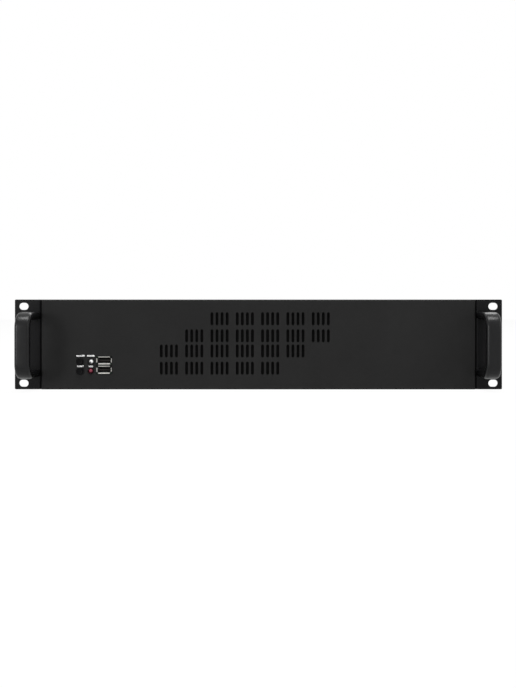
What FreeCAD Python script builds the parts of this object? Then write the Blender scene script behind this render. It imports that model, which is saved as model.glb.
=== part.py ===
import FreeCAD, Part

# A two-unit rack-mount computer case: a folded tray, a fan wall, a riveted rear panel, a front panel
# with staggered groups of vent slots, a cover that slides back, L-shaped rack ears with
# moulded handles, two intake fans and a small board with buttons, lamps and two sockets.
#
# The origin is the centre of the four rack slots, on the rear face of the ears, which meets
# the rack's posts. X points right as seen from the front, Y to the rear and Z up.
# All sizes are in millimetres.

import math
import os

Vector = FreeCAD.Vector
ALONG_X = Vector(1, 0, 0)
ALONG_Y = Vector(0, 1, 0)
ALONG_Z = Vector(0, 0, 1)
ORIGIN = Vector(0, 0, 0)
TINY = 1e-6

# Rack standard
UNIT_HEIGHT = 44.45
UNITS = 2
EAR_SPAN = 482.6
RACK_SLOT_INSET = 8.75
RACK_SLOT_EDGE = 6.35
RACK_SLOT_LENGTH = 9.5
RACK_SLOT_WIDTH = 7.0
RACK_SLOT_DROP = 0.4

# Body
EAR_REACH = 26.3
CASE_DEPTH = 300.0
TRAY_SHEET = 1.0
TRAY_BEND = 0.8
TRAY_FRONT = 6.0
LEDGE_WIDTH = 7.0
FRONT_FLANGE = 8.0
FRONT_FOOT = 10.0
CORNER_GAP = 0.3
OVERCUT = 1.0

# Front panel
PANEL_SHEET = 1.0
PANEL_BEND = 0.6
PANEL_PROUD = 3.0
PANEL_SIDE_GAP = 0.6
PANEL_LIP = 13.0
PANEL_LIP_MARGIN = 14.45
PANEL_SCREW_MARGIN = 8.0
VENT_WIDTH = 2.8
VENT_LENGTH = 13.2
VENT_PITCH = 5.0
VENTS_IN_GROUP = 4
VENT_END_CHORDS = 3
VENT_GROUP_PITCH = 25.0
VENT_FIRST_INSET = 119.1
# Each row of vents by its height above mid-panel, with a mark for each group that is punched.
VENT_ROWS = {25.4: "..#####", 8.6: ".######", -6.4: "######.", -23.4: "#####.."}
FILTER_SHEET = 1.2
FILTER_MARGIN = 3.0

# Cover
COVER_SHEET = 0.8
COVER_BEND = 0.5
COVER_GAP = 0.1
COVER_LAP = 9.0
COVER_LIP = 3.0
COVER_TAB_HEIGHT = 14.0
COVER_TAB_WIDTH = 16.0
COVER_TAB_ROOM = 18.0
COVER_SCREW_DROP = 7.5

# Ears and handles
EAR_SHEET = 2.0
EAR_BEND = 0.6
EAR_FLANGE = 45.0
EAR_CORNER = 1.2
EAR_SCREW_YS = (20.0, 36.0)
EAR_SCREW_MARGIN = 16.45
HANDLE_SIDE_GAP = 0.9
HANDLE_MARGIN = 12.35
HANDLE_REACH = 40.0
HANDLE_WIDTH = 14.6
HANDLE_THICKNESS = 7.4
HANDLE_EDGE = 3.2
HANDLE_EDGE_CHORDS = 1
HANDLE_CORNER = 15.0
SINK_RIM = 0.2

# Fans
FAN_ROOM = 2.45
FAN_SPACE = 2.0
FAN_DEPTH = 25.0
FAN_CORNER = 4.0
FAN_FLANGE = 4.0
FAN_WALL = 1.8
FAN_BARREL_INSET = 0.1
FAN_HOLE_INSET = 4.25
FAN_SIDES = 24
FAN_HUB = 34.0
FAN_HUB_SIDES = 14
FAN_HUB_WALL = 1.6
FAN_HUB_EDGE = 1.5
FAN_STATOR = 24.0
FAN_STATOR_GAP = 1.0
FAN_HUB_PLATE = 3.0
FAN_STRUT = 4.0
FAN_STRUTS = 4
FAN_SHAFT = 3.0
FAN_SHAFT_SETBACK = 0.5
FAN_TIP_GAP = 0.8
FAN_FRONT_GAP = 2.5
FAN_REAR_GAP = 0.6
BLADES = 7
BLADE_THICKNESS = 1.3
BLADE_CHORD_ROOT = 14.0
BLADE_CHORD_TIP = 24.0
BLADE_ANGLE = 42.0
BLADE_ROOT_LAP = 1.5

# Controls, inward from the case's left side and up from its underside
BUTTON_INSET = 38.8
BUTTON_HEIGHTS = (27.75, 18.05)
BUTTON_DIAMETER = 7.0
BUTTON_EDGE = 0.5
BUTTON_PROUD = 2.2
BUTTON_TRAVEL = 1.5
BUTTON_BACK_GAP = 0.1
BUTTON_FLANGE = 8.6
BUTTON_FLANGE_DEPTH = 1.0
BUTTON_FLANGE_SIDES = 8
BUTTON_STEM = 3.0
BUTTON_STEM_DEPTH = 5.0
BUTTON_STOP_GAP = 0.3
BUTTON_BORE_GAP = 0.5
SWITCH_SIZE = 8.4
SWITCH_EDGE = 0.6
LAMP_INSET = 49.6
LAMP_HEIGHTS = (27.55, 18.55)
LAMP_DIAMETER = 5.0
LAMP_PROUD = 2.0
LAMP_BODY = 8.7
LAMP_RIM = 5.8
LAMP_RIM_DEPTH = 1.0
LAMP_SIDES = 12
LAMP_RINGS = 3
LAMP_LEG = 0.5
LAMP_LEG_LAP = 0.5
LAMP_LEG_PITCH = 2.54
SOCKET_INSET = 62.6
SOCKET_HEIGHTS = (28.75, 19.55)
SOCKET_WIDTH = 13.1
SOCKET_HEIGHT = 5.7
SOCKET_WALL = 0.35
SOCKET_CORNER = 0.6
SOCKET_LIP_WIDTH = 15.2
SOCKET_LIP_HEIGHT = 7.8
SOCKET_LIP_DEPTH = 1.4
SOCKET_LIP_INSET = 0.8
SOCKET_LIP_LAP = 0.2
SOCKET_PROUD = 0.3
SOCKET_FIT = 0.02
TONGUE_WIDTH = 11.1
TONGUE_THICKNESS = 1.9
TONGUE_SETBACK = 1.2
TONGUE_LAP = 0.5
TONGUE_EDGE = 0.4
SOCKET_BLOCK = 5.0
BLOCK_EDGE = 0.3
CONTACTS = 4
CONTACT_PITCH = 2.3
CONTACT_WIDTH = 1.0
CONTACT_THICKNESS = 0.15
CONTACT_SETBACK = 0.8
BOARD_STANDOFF = 14.0
CONTROL_BOARD_SHEET = 1.6
CONTROL_BOARD_INSET = 26.0
CONTROL_BOARD_WIDTH = 53.0
CONTROL_BOARD_RISE = 7.45
CONTROL_BOARD_HEIGHT = 31.0
CONTROL_BOARD_CORNER = 1.5
CONTROL_BOARD_ROOM = 2.0
SPACER_INSET = 3.5
SPACER_FLATS = 5.0
SPACER_BORE_DEPTH = 7.0

# Rear panel, whose pieces keep their share of the case's width
SHELF_DROP = 6.7
SHELF_DEPTH = 12.0
CARD_SLOTS = 4
CARD_PITCH_SHARE = 0.08328
CARD_FIRST_SHARE = 0.7131
CARD_OPENING_EDGE = 2.71
CARD_OPENING_FOOT = 8.0
CARD_OPENING_HEAD = 6.0
CARD_COVER_SPACE = 1.9
CARD_COVER_SHEET = 0.86
CARD_COVER_BEND = 0.4
CARD_TAB_SETBACK = 0.6
IO_LEFT_SHARE = 0.6639
IO_WIDTH_SHARE = 0.6506
IO_HEIGHT = 44.45
IO_ABOVE_FLOOR = 4.1
SUPPLY_SHARE = 0.34884
SUPPLY_SIDE_GAP = 6.0
SUPPLY_EDGE = 12.0
SUPPLY_WIDE_EDGE = 4.0
SUPPLY_FOOT = 12.0
SUPPLY_HEAD = 6.0
SUPPLY_WIDE_FOOT = 25.0
SUPPLY_WIDE_HEAD = 15.0
SUPPLY_SCREW_INSET = 6.0
SUPPLY_SCREW_STEP = 10.0
SUPPLY_LOW_SCREW_INSET = 30.0
REAR_FLANGE = 12.0
REAR_TOP_FLANGE = 10.0
REAR_VENTS = 9
REAR_VENT_WIDTH = 3.0
REAR_VENT_MARGIN = 6.3

# Inside
STANDOFF_HEIGHT = 6.35
STANDOFF_SIDES = 6
STANDOFF_FLATS = 5.5
STANDOFF_BORE = 2.5
STANDOFF_SOLID = 1.0
MAINBOARD_SHARE = 0.56744
MAINBOARD_SIDE_GAP = 4.0
MAINBOARD_REAR_GAP = 4.0
MAINBOARD_FRONT_GAP = 20.0
# Hole places on a micro-ATX board, as shares of its width inward from its right edge and of
# its depth forward from its rear edge.
MAINBOARD_HOLE_SHARES = (
    (0.026, 0.1353), (0.6714, 0.0416), (0.8588, 0.0416),
    (0.026, 0.6766), (0.6714, 0.6766), (0.8588, 0.6766),
    (0.026, 0.9733), (0.6714, 0.9733), (0.8588, 0.9733),
)
DRIVE_SIDE_GAP = 4.0
DRIVE_FAN_GAP = 4.0
DRIVE_DEPTH = 109.0
DRIVE_WIDTH = 102.2
DRIVE_HEIGHT = 38.0
DRIVE_FOOT = 12.0
DRIVE_SHEET = 1.2
DRIVE_SLOT_RISE = 16.0
DRIVE_SLOT_LENGTH = 14.0
DRIVE_SLOT_WIDTH = 4.0
DRIVE_SLOT_SHARES = (-0.3, 0.0, 0.3)
DRIVE_ROOF_HOLE = (60.0, 26.0)
DRIVE_ROOF_SHARES = (-0.25, 0.25)
SIDE_VENTS = 6
SIDE_VENT_PITCH = 12.0
SIDE_VENT_WIDTH = 3.0
SIDE_VENT_LENGTH = 30.0

# Fasteners
HOLE_SIDES = 8
SHANK_SIDES = 6
HEAD_SIDES = 6
SINK_SIDES = 12
HEAD_WIDTH_RATIO = 3.8
HEAD_HEIGHT_RATIO = 1.2
M3_RADIUS = 1.45
M4_RADIUS = 1.95
HOLE_CLEARANCE = 0.15
THREAD_CLEARANCE = 0.05
RUNNING_CLEARANCE = 0.05
NUT_SPARE = 2.0
HANDLE_SCREW_DEPTH = 10.0
FAN_SCREW_LENGTH = 12.0
CARD_SCREW_LENGTH = 5.0
SPACER_SCREW_DEPTH = 6.0
RIVET_RADIUS = 1.6
RIVET_HEAD = 3.2
RIVET_HEAD_HEIGHT = 0.9
RIVET_TAIL = 1.2
RIVET_SHARES = (-0.32, -0.02, 0.27)
WALL_SCREW_INSET = 25.8
WALL_SCREW_ROOM = 18.0
THUMB_FLATS = 9.0
THUMB_LENGTH = 6.5
THUMB_SHANK = 8.0

# Worked out from the sizes above
MID = RACK_SLOT_DROP
HEIGHT = UNITS * UNIT_HEIGHT
BOTTOM = MID - HEIGHT / 2
TOP = MID + HEIGHT / 2
FLOOR = BOTTOM + TRAY_SHEET
EAR_HALF = EAR_SPAN / 2
HALF = EAR_HALF - EAR_REACH
INNER = HALF - TRAY_SHEET
CASE_WIDTH = 2 * HALF
RACK_SLOT_X = EAR_HALF - RACK_SLOT_INSET
RACK_SLOT_Z = HEIGHT / 2 - RACK_SLOT_EDGE
PANEL_HALF = HALF - PANEL_SIDE_GAP
PANEL_FACE = -EAR_SHEET - PANEL_PROUD
PANEL_INSIDE = PANEL_FACE + PANEL_SHEET
PANEL_LIP_HALF = HEIGHT / 2 - PANEL_LIP_MARGIN
PANEL_SCREW_X = PANEL_HALF - PANEL_LIP / 2
PANEL_SCREW_RISE = PANEL_LIP_HALF - PANEL_SCREW_MARGIN
WALL_BACK = TRAY_FRONT + TRAY_SHEET
COVER_TOP = TOP - PANEL_SHEET - COVER_GAP
COVER_UNDER = COVER_TOP - COVER_SHEET
COVER_REAR = CASE_DEPTH + COVER_GAP + COVER_SHEET
COVER_SCREW_Z = COVER_TOP - COVER_SCREW_DROP
LEDGE_TOP = COVER_UNDER - COVER_GAP
REAR_INSIDE = CASE_DEPTH - TRAY_SHEET
SHELF_TOP = LEDGE_TOP - SHELF_DROP
EAR_SCREW_RISE = HEIGHT / 2 - EAR_SCREW_MARGIN
HANDLE_X = HALF + HANDLE_SIDE_GAP + HANDLE_WIDTH / 2
HANDLE_RISE = HEIGHT / 2 - HANDLE_MARGIN - HANDLE_THICKNESS / 2
VENT_FIRST_X = VENT_FIRST_INSET - HALF
VENT_GROUPS = max(len(groups) for groups in VENT_ROWS.values())
VENT_LAST_X = VENT_FIRST_X + (VENT_GROUPS - 1) * VENT_GROUP_PITCH + (VENTS_IN_GROUP - 1) * VENT_PITCH
FAN_SIZE = LEDGE_TOP - TRAY_SHEET - FLOOR - 2 * FAN_ROOM
FAN_BORE = FAN_SIZE - 2 * FAN_WALL
FAN_HOLE_SPAN = FAN_SIZE - 2 * FAN_HOLE_INSET
FAN_Z = (FLOOR + LEDGE_TOP - TRAY_SHEET) / 2
FAN_CENTRE_X = (VENT_FIRST_X + VENT_LAST_X) / 2
FAN_XS = (FAN_CENTRE_X - (FAN_SIZE + FAN_SPACE) / 2, FAN_CENTRE_X + (FAN_SIZE + FAN_SPACE) / 2)
FAN_BACK = WALL_BACK + FAN_DEPTH
FAN_TIP = FAN_BORE / 2 - FAN_TIP_GAP
STATOR_START = WALL_BACK + FAN_FRONT_GAP + FAN_HUB_WALL + FAN_STATOR_GAP
BUTTON_X = BUTTON_INSET - HALF
BUTTON_SEAT = PANEL_INSIDE + BUTTON_BACK_GAP
SWITCH_FRONT = BUTTON_SEAT + BUTTON_FLANGE_DEPTH + BUTTON_TRAVEL + BUTTON_STOP_GAP
LAMP_X = LAMP_INSET - HALF
SOCKET_X = SOCKET_INSET - HALF
SOCKET_MOUTH = PANEL_FACE - SOCKET_PROUD
CONTROL_BOARD_X = (CONTROL_BOARD_INSET - HALF, CONTROL_BOARD_INSET + CONTROL_BOARD_WIDTH - HALF)
CONTROL_BOARD_Y = PANEL_INSIDE + BOARD_STANDOFF
CONTROL_BOARD_Z = (BOTTOM + CONTROL_BOARD_RISE, BOTTOM + CONTROL_BOARD_RISE + CONTROL_BOARD_HEIGHT)
SUPPLY_RIGHT = INNER - SUPPLY_SIDE_GAP
SUPPLY_LEFT = SUPPLY_RIGHT - SUPPLY_SHARE * CASE_WIDTH
MAINBOARD_WIDTH = MAINBOARD_SHARE * CASE_WIDTH
MAINBOARD_RIGHT = SUPPLY_LEFT - MAINBOARD_SIDE_GAP
MAINBOARD_REAR = CASE_DEPTH - MAINBOARD_REAR_GAP
MAINBOARD_DEPTH = MAINBOARD_REAR - FAN_BACK - MAINBOARD_FRONT_GAP
IO_LEFT = MAINBOARD_RIGHT - IO_LEFT_SHARE * MAINBOARD_WIDTH
IO_WIDTH = IO_WIDTH_SHARE * MAINBOARD_WIDTH
CARD_PITCH = CARD_PITCH_SHARE * MAINBOARD_WIDTH
CARD_FIRST_X = MAINBOARD_RIGHT - CARD_FIRST_SHARE * MAINBOARD_WIDTH
CARD_XS = tuple(CARD_FIRST_X - index * CARD_PITCH for index in range(CARD_SLOTS))
CARD_COVER_WIDTH = CARD_PITCH - CARD_COVER_SPACE
CARD_SCREW_Y = CASE_DEPTH + SHELF_DEPTH / 2
SHELF_LEFT = CARD_XS[-1] - CARD_PITCH / 2 - CORNER_GAP
SHELF_RIGHT = CARD_XS[0] + CARD_PITCH / 2 + CORNER_GAP
COVER_TAB_XS = ((SHELF_LEFT - HALF) / 2, SHELF_RIGHT + COVER_TAB_ROOM, SUPPLY_LEFT - COVER_TAB_ROOM)
RIVET_Y = CASE_DEPTH - REAR_FLANGE / 2
DRIVE_X = INNER - DRIVE_SIDE_GAP - DRIVE_FOOT - DRIVE_WIDTH / 2
DRIVE_Y = (FAN_BACK + DRIVE_FAN_GAP, FAN_BACK + DRIVE_FAN_GAP + DRIVE_DEPTH)


def box(x_range, y_range, z_range):
    """A block between two values on each axis."""
    size = [high - low for low, high in (x_range, y_range, z_range)]
    return Part.makeBox(size[0], size[1], size[2], Vector(x_range[0], y_range[0], z_range[0]))


def rod(x, y, z, radius, length, axis=ALONG_Y):
    """A cylinder that starts at a point and runs along an axis."""
    return Part.makeCylinder(radius, length, Vector(x, y, z), axis)


def fuse(shapes):
    """One solid from shapes that touch, without the seams between them."""
    joined = shapes[0].fuse(shapes[1:])
    return joined.removeSplitter()


def mirrored(shape):
    """The same shape on the other side of the case."""
    return shape.mirror(ORIGIN, ALONG_X)


def rounded_wire(corners, origin, u_axis, v_axis):
    """A closed wire through corners (u, v, radius), each rounded by an arc of its radius."""
    count = len(corners)
    entries = []
    for index, (u, v, radius) in enumerate(corners):
        before = corners[index - 1]
        after = corners[(index + 1) % count]
        back = Vector(before[0] - u, before[1] - v, 0)
        ahead = Vector(after[0] - u, after[1] - v, 0)
        here = Vector(u, v, 0)
        if radius <= 0:
            entries.append((here, None, here))
            continue
        back.normalize()
        ahead.normalize()
        half_angle = back.getAngle(ahead) / 2
        reach = radius / math.tan(half_angle)
        bisector = back + ahead
        bisector.normalize()
        centre_distance = radius / math.sin(half_angle)
        middle = here + bisector * (centre_distance - radius)
        entries.append((here + back * reach, middle, here + ahead * reach))

    def place(point):
        return origin + u_axis * point.x + v_axis * point.y

    edges = []
    for index, (start, middle, end) in enumerate(entries):
        if middle is not None:
            edges.append(Part.Arc(place(start), place(middle), place(end)).toShape())
        following = entries[(index + 1) % count][0]
        if end.distanceToPoint(following) > TINY:
            edges.append(Part.LineSegment(place(end), place(following)).toShape())
    return Part.Wire(edges)


def prism(corners, origin, u_axis, v_axis, run):
    """A rounded outline carried along a straight run."""
    return Part.Face(rounded_wire(corners, origin, u_axis, v_axis)).extrude(run)


def left_of(start, end):
    """The unit normal to the left of a 2-D step."""
    length = math.hypot(end[0] - start[0], end[1] - start[1])
    return (start[1] - end[1]) / length, (end[0] - start[0]) / length


def sheet(path, thickness, bend, origin, u_axis, v_axis, run):
    """Folded sheet: path is one face of its section, and its thickness lies to the left."""
    face = []
    other = []
    last = len(path) - 1
    for index, (u, v) in enumerate(path):
        if index in (0, last):
            step = (path[0], path[1]) if index == 0 else (path[-2], path[-1])
            normal = left_of(*step)
            face.append((u, v, 0))
            other.append((u + normal[0] * thickness, v + normal[1] * thickness, 0))
            continue
        first = left_of(path[index - 1], path[index])
        second = left_of(path[index], path[index + 1])
        scale = thickness / (1 + first[0] * second[0] + first[1] * second[1])
        shift_u = (first[0] + second[0]) * scale
        shift_v = (first[1] + second[1]) * scale
        turns_left = first[0] * second[1] - first[1] * second[0] > 0
        face_radius = bend + thickness if turns_left else bend
        other_radius = bend if turns_left else bend + thickness
        face.append((u, v, face_radius))
        other.append((u + shift_u, v + shift_v, other_radius))
    return prism(face + other[::-1], origin, u_axis, v_axis, run)


def obround(u, v, length_u, length_v, origin, u_axis, v_axis, run):
    """A slot with round ends as a prism, centred on (u, v)."""
    if length_v > length_u:
        return obround(v, u, length_v, length_u, origin, v_axis, u_axis, run)
    radius = length_v / 2
    reach = length_u / 2 - radius

    def at(along, across):
        return origin + u_axis * (u + along) + v_axis * (v + across)

    wire = Part.Wire([
        Part.LineSegment(at(-reach, radius), at(reach, radius)).toShape(),
        Part.Arc(at(reach, radius), at(reach + radius, 0), at(reach, -radius)).toShape(),
        Part.LineSegment(at(reach, -radius), at(-reach, -radius)).toShape(),
        Part.Arc(at(-reach, -radius), at(-reach - radius, 0), at(-reach, radius)).toShape(),
    ])
    return Part.Face(wire).extrude(run)


def vent_slot(u, v, width, length, origin, u_axis, v_axis, run):
    """A narrow punched slot, upright along v, whose round ends are made of short chords."""
    radius = width / 2
    reach = length / 2 - radius
    corners = []
    for end in (1, -1):
        for step in range(VENT_END_CHORDS + 1):
            angle = math.pi * step / VENT_END_CHORDS
            corners.append((u + end * radius * math.cos(angle),
                            v + end * (reach + radius * math.sin(angle)), 0))
    return prism(corners, origin, u_axis, v_axis, run)


def polygon_bar(sides, x, y, z, flats, length, axis, side_axis=None):
    """A bar with flat sides along an axis, given its size across flats."""
    if side_axis is None:
        side_axis = ALONG_Z if abs(axis.z) < 0.5 else ALONG_X
    third_axis = axis.cross(side_axis)
    radius = flats / 2 / math.cos(math.pi / sides)
    corners = []
    for side in range(sides):
        angle = 2 * math.pi * side / sides
        corners.append((radius * math.cos(angle), radius * math.sin(angle), 0))
    return prism(corners, Vector(x, y, z), side_axis, third_axis, axis * length)


def hole(x, y, z, radius, length, axis=ALONG_Y):
    """A screw's clearance hole as a many-sided bar that a circle of the radius just fits."""
    return polygon_bar(HOLE_SIDES, x, y, z, 2 * radius, length, axis)


def shank(x, y, z, radius, length, axis):
    """A screw's shank as a many-sided bar that just fits in a circle of the radius."""
    flats = 2 * radius * math.cos(math.pi / SHANK_SIDES)
    return polygon_bar(SHANK_SIDES, x, y, z, flats, length, axis)


def tray():
    """Floor and side walls with inward ledges, folded from one sheet."""
    depth = CASE_DEPTH - TRAY_FRONT
    ledge_edge = HALF - LEDGE_WIDTH
    section = [
        (-ledge_edge, LEDGE_TOP), (-HALF, LEDGE_TOP), (-HALF, BOTTOM),
        (HALF, BOTTOM), (HALF, LEDGE_TOP), (ledge_edge, LEDGE_TOP),
    ]
    body = sheet(section, TRAY_SHEET, TRAY_BEND, Vector(0, TRAY_FRONT, 0),
                 ALONG_X, ALONG_Z, ALONG_Y * depth)
    for y_range in (
        (TRAY_FRONT - OVERCUT, TRAY_FRONT + FRONT_FLANGE + CORNER_GAP),
        (REAR_INSIDE - REAR_FLANGE, CASE_DEPTH + OVERCUT),
    ):
        body = body.cut(box((-INNER, INNER), y_range,
                            (LEDGE_TOP - TRAY_SHEET - TRAY_BEND, LEDGE_TOP + OVERCUT)))
    cuts = tray_wall_cuts()
    for x, y in floor_screw_places():
        cuts.append(hole(x, y, BOTTOM - OVERCUT, M3_RADIUS + THREAD_CLEARANCE,
                         TRAY_SHEET + 2 * OVERCUT, ALONG_Z))
    return body.cut(Part.makeCompound(cuts))


def fan_wall():
    """The folded wall behind the front panel, which stands on the floor and carries the fans."""
    path = [
        (TRAY_FRONT + FRONT_FLANGE, LEDGE_TOP), (TRAY_FRONT, LEDGE_TOP),
        (TRAY_FRONT, FLOOR), (TRAY_FRONT + FRONT_FOOT, FLOOR),
    ]
    half = INNER - TRAY_BEND
    body = sheet(path, TRAY_SHEET, TRAY_BEND, Vector(-half, 0, 0), ALONG_Y, ALONG_Z,
                 ALONG_X * (2 * half))
    start = TRAY_FRONT - OVERCUT
    through = TRAY_SHEET + 2 * OVERCUT
    left, right = CONTROL_BOARD_X
    cuts = [box((left - CONTROL_BOARD_ROOM, right + CONTROL_BOARD_ROOM), (start, start + through),
                (FLOOR + TRAY_SHEET + 2 * TRAY_BEND, CONTROL_BOARD_Z[1] + CONTROL_BOARD_ROOM))]
    for fan_x in FAN_XS:
        cuts.append(polygon_bar(FAN_SIDES, fan_x, start, FAN_Z, FAN_BORE, through, ALONG_Y))
        for x, z in fan_holes(fan_x):
            cuts.append(hole(x, start, z, M4_RADIUS + HOLE_CLEARANCE, through))
    for x, z in panel_screw_places():
        cuts.append(hole(x, start, z, M3_RADIUS + HOLE_CLEARANCE, through))
    for x, y in wall_screw_places():
        cuts.append(hole(x, y, FLOOR - OVERCUT, M3_RADIUS + HOLE_CLEARANCE, through, ALONG_Z))
    return body.cut(Part.makeCompound(cuts))


def tray_wall_cuts():
    """Holes for the ear screws and the rear rivets, and a row of vents in each side wall."""
    start = -HALF - OVERCUT
    length = CASE_WIDTH + 2 * OVERCUT
    cuts = []
    for y, z in ear_screw_places():
        cuts.append(hole(start, y, z, M4_RADIUS + HOLE_CLEARANCE, length, ALONG_X))
    for z in rivet_heights():
        cuts.append(hole(start, RIVET_Y, z, RIVET_RADIUS + THREAD_CLEARANCE, length, ALONG_X))
    for index in range(SIDE_VENTS):
        y = CASE_DEPTH / 2 + (index - (SIDE_VENTS - 1) / 2) * SIDE_VENT_PITCH
        cuts.append(vent_slot(y, MID, SIDE_VENT_WIDTH, SIDE_VENT_LENGTH, Vector(start, 0, 0),
                              ALONG_Y, ALONG_Z, ALONG_X * length))
    return cuts


def rear_panel():
    """Rear wall with its flanges, the shelf for the card covers, and its openings."""
    clear = 2 * TRAY_BEND
    flange_start = CASE_DEPTH - REAR_FLANGE
    sides = [(INNER, flange_start), (INNER, CASE_DEPTH), (-INNER, CASE_DEPTH), (-INNER, flange_start)]
    side_bottom = FLOOR + clear
    side_top = SHELF_TOP - clear
    wrap = sheet(sides, TRAY_SHEET, TRAY_BEND, Vector(0, 0, side_bottom), ALONG_X, ALONG_Y,
                 ALONG_Z * (side_top - side_bottom))
    upright = [(CASE_DEPTH, FLOOR), (CASE_DEPTH, LEDGE_TOP), (CASE_DEPTH - REAR_TOP_FLANGE, LEDGE_TOP)]
    shelf = [(REAR_INSIDE + SHELF_DEPTH, SHELF_TOP), (REAR_INSIDE, SHELF_TOP), (REAR_INSIDE, FLOOR)]
    edge = INNER - clear - TRAY_SHEET
    pieces = [wrap]
    for path, start, end in (
        (upright, -edge, SHELF_LEFT - CORNER_GAP),
        (shelf, SHELF_LEFT, SHELF_RIGHT),
        (upright, SHELF_RIGHT + CORNER_GAP, edge),
    ):
        pieces.append(sheet(path, TRAY_SHEET, TRAY_BEND, Vector(start, 0, 0), ALONG_Y, ALONG_Z,
                            ALONG_X * (end - start)))
    body = fuse(pieces)
    return body.cut(Part.makeCompound(rear_cuts()))


def rear_cuts():
    """The openings of the rear panel."""
    start = REAR_INSIDE - OVERCUT
    through = TRAY_SHEET + 2 * OVERCUT
    depth = (start, start + through)
    io_bottom = FLOOR + IO_ABOVE_FLOOR
    io_top = io_bottom + IO_HEIGHT
    cuts = [box((IO_LEFT, IO_LEFT + IO_WIDTH), depth, (io_bottom, io_top))]
    card_half = CARD_COVER_WIDTH / 2 - CARD_OPENING_EDGE
    for x in CARD_XS:
        cuts.append(box((x - card_half, x + card_half), depth,
                        (FLOOR + CARD_OPENING_FOOT, SHELF_TOP - CARD_OPENING_HEAD)))
        cuts.append(hole(x, CARD_SCREW_Y, SHELF_TOP - TRAY_SHEET - OVERCUT,
                         M3_RADIUS + THREAD_CLEARANCE, through, ALONG_Z))
    for edge, foot, head in (
        (SUPPLY_EDGE, SUPPLY_FOOT, SUPPLY_HEAD), (SUPPLY_WIDE_EDGE, SUPPLY_WIDE_FOOT, SUPPLY_WIDE_HEAD),
    ):
        cuts.append(box((SUPPLY_LEFT + edge, SUPPLY_RIGHT - edge), depth,
                        (FLOOR + foot, LEDGE_TOP - head)))
    for x, z in supply_screw_places():
        cuts.append(hole(x, start, z, M4_RADIUS, through))
    length = SHELF_TOP - io_top - 2 * REAR_VENT_MARGIN
    for index in range(REAR_VENTS):
        x = IO_LEFT + IO_WIDTH * (index + 0.5) / REAR_VENTS
        cuts.append(vent_slot(x, (io_top + SHELF_TOP) / 2, REAR_VENT_WIDTH, length,
                              Vector(0, start, 0), ALONG_X, ALONG_Z, ALONG_Y * through))
    for x in COVER_TAB_XS:
        cuts.append(hole(x, start, COVER_SCREW_Z, M3_RADIUS + HOLE_CLEARANCE, through))
    for z in rivet_heights():
        cuts.append(hole(-HALF - OVERCUT, RIVET_Y, z, RIVET_RADIUS + THREAD_CLEARANCE,
                         CASE_WIDTH + 2 * OVERCUT, ALONG_X))
    return cuts


def top_cover():
    """Flat cover that slides under the front panel, with a lip and three screw tabs behind."""
    front = TRAY_FRONT - COVER_LAP
    half = HALF - COVER_GAP

    def flange(x_start, x_end, drop):
        path = [(COVER_REAR, COVER_TOP - drop), (COVER_REAR, COVER_TOP), (front, COVER_TOP)]
        return sheet(path, COVER_SHEET, COVER_BEND, Vector(x_start, 0, 0), ALONG_Y, ALONG_Z,
                     ALONG_X * (x_end - x_start))

    pieces = [flange(-half, half, COVER_LIP)]
    for x in COVER_TAB_XS:
        pieces.append(flange(x - COVER_TAB_WIDTH / 2, x + COVER_TAB_WIDTH / 2, COVER_TAB_HEIGHT))
    body = fuse(pieces)
    nose = half - PANEL_HALF + PANEL_SHEET + 2 * COVER_GAP
    for side in (-1, 1):
        corner = box(sorted((side * (half - nose), side * (half + OVERCUT))),
                     (front - OVERCUT, TRAY_FRONT + COVER_GAP),
                     (COVER_UNDER - OVERCUT, COVER_TOP + OVERCUT))
        body = body.cut(corner)
    for x in COVER_TAB_XS:
        body = body.cut(hole(x, CASE_DEPTH, COVER_SCREW_Z, M3_RADIUS + THREAD_CLEARANCE,
                             COVER_GAP + COVER_SHEET + OVERCUT))
    return body


def front_panel():
    """A shallow pan with rounded edges, two inward lips, the vents and the control holes."""
    pan = pan_block(0, PANEL_BEND + PANEL_SHEET, PANEL_FACE, TRAY_FRONT)
    pieces = [pan.cut(pan_block(PANEL_SHEET, PANEL_BEND, PANEL_INSIDE, TRAY_FRONT + OVERCUT))]
    lip = (TRAY_FRONT - PANEL_SHEET, TRAY_FRONT)
    for side in (-1, 1):
        lip_x = sorted((side * (PANEL_HALF - PANEL_LIP), side * (PANEL_HALF - PANEL_SHEET / 2)))
        pieces.append(box(lip_x, lip, (MID - PANEL_LIP_HALF, MID + PANEL_LIP_HALF)))
    body = fuse(pieces)
    cuts = vent_cuts() + control_cuts()
    for x, z in panel_screw_places():
        cuts.append(hole(x, lip[0] - OVERCUT, z, M3_RADIUS + THREAD_CLEARANCE,
                         PANEL_SHEET + 2 * OVERCUT))
    return body.cut(Part.makeCompound(cuts))


def pan_block(inset, radius, front, back):
    """The panel's block, drawn in by inset at its sides, with its front edges rounded."""
    half = PANEL_HALF - inset
    block = box((-half, half), (front, back), (BOTTOM + inset, TOP - inset))
    return block.makeFillet(radius, edges_at(block, front))


def edges_at(shape, y):
    """The edges of a shape that lie at one depth."""
    return [edge for edge in shape.Edges
            if abs(edge.BoundBox.YMin - y) < TINY and abs(edge.BoundBox.YMax - y) < TINY]


def edges_along_y(shape):
    """The straight edges of a block that run from front to rear."""
    return [edge for edge in shape.Edges
            if abs(edge.Vertexes[0].Y - edge.Vertexes[-1].Y) > TINY]


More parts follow.
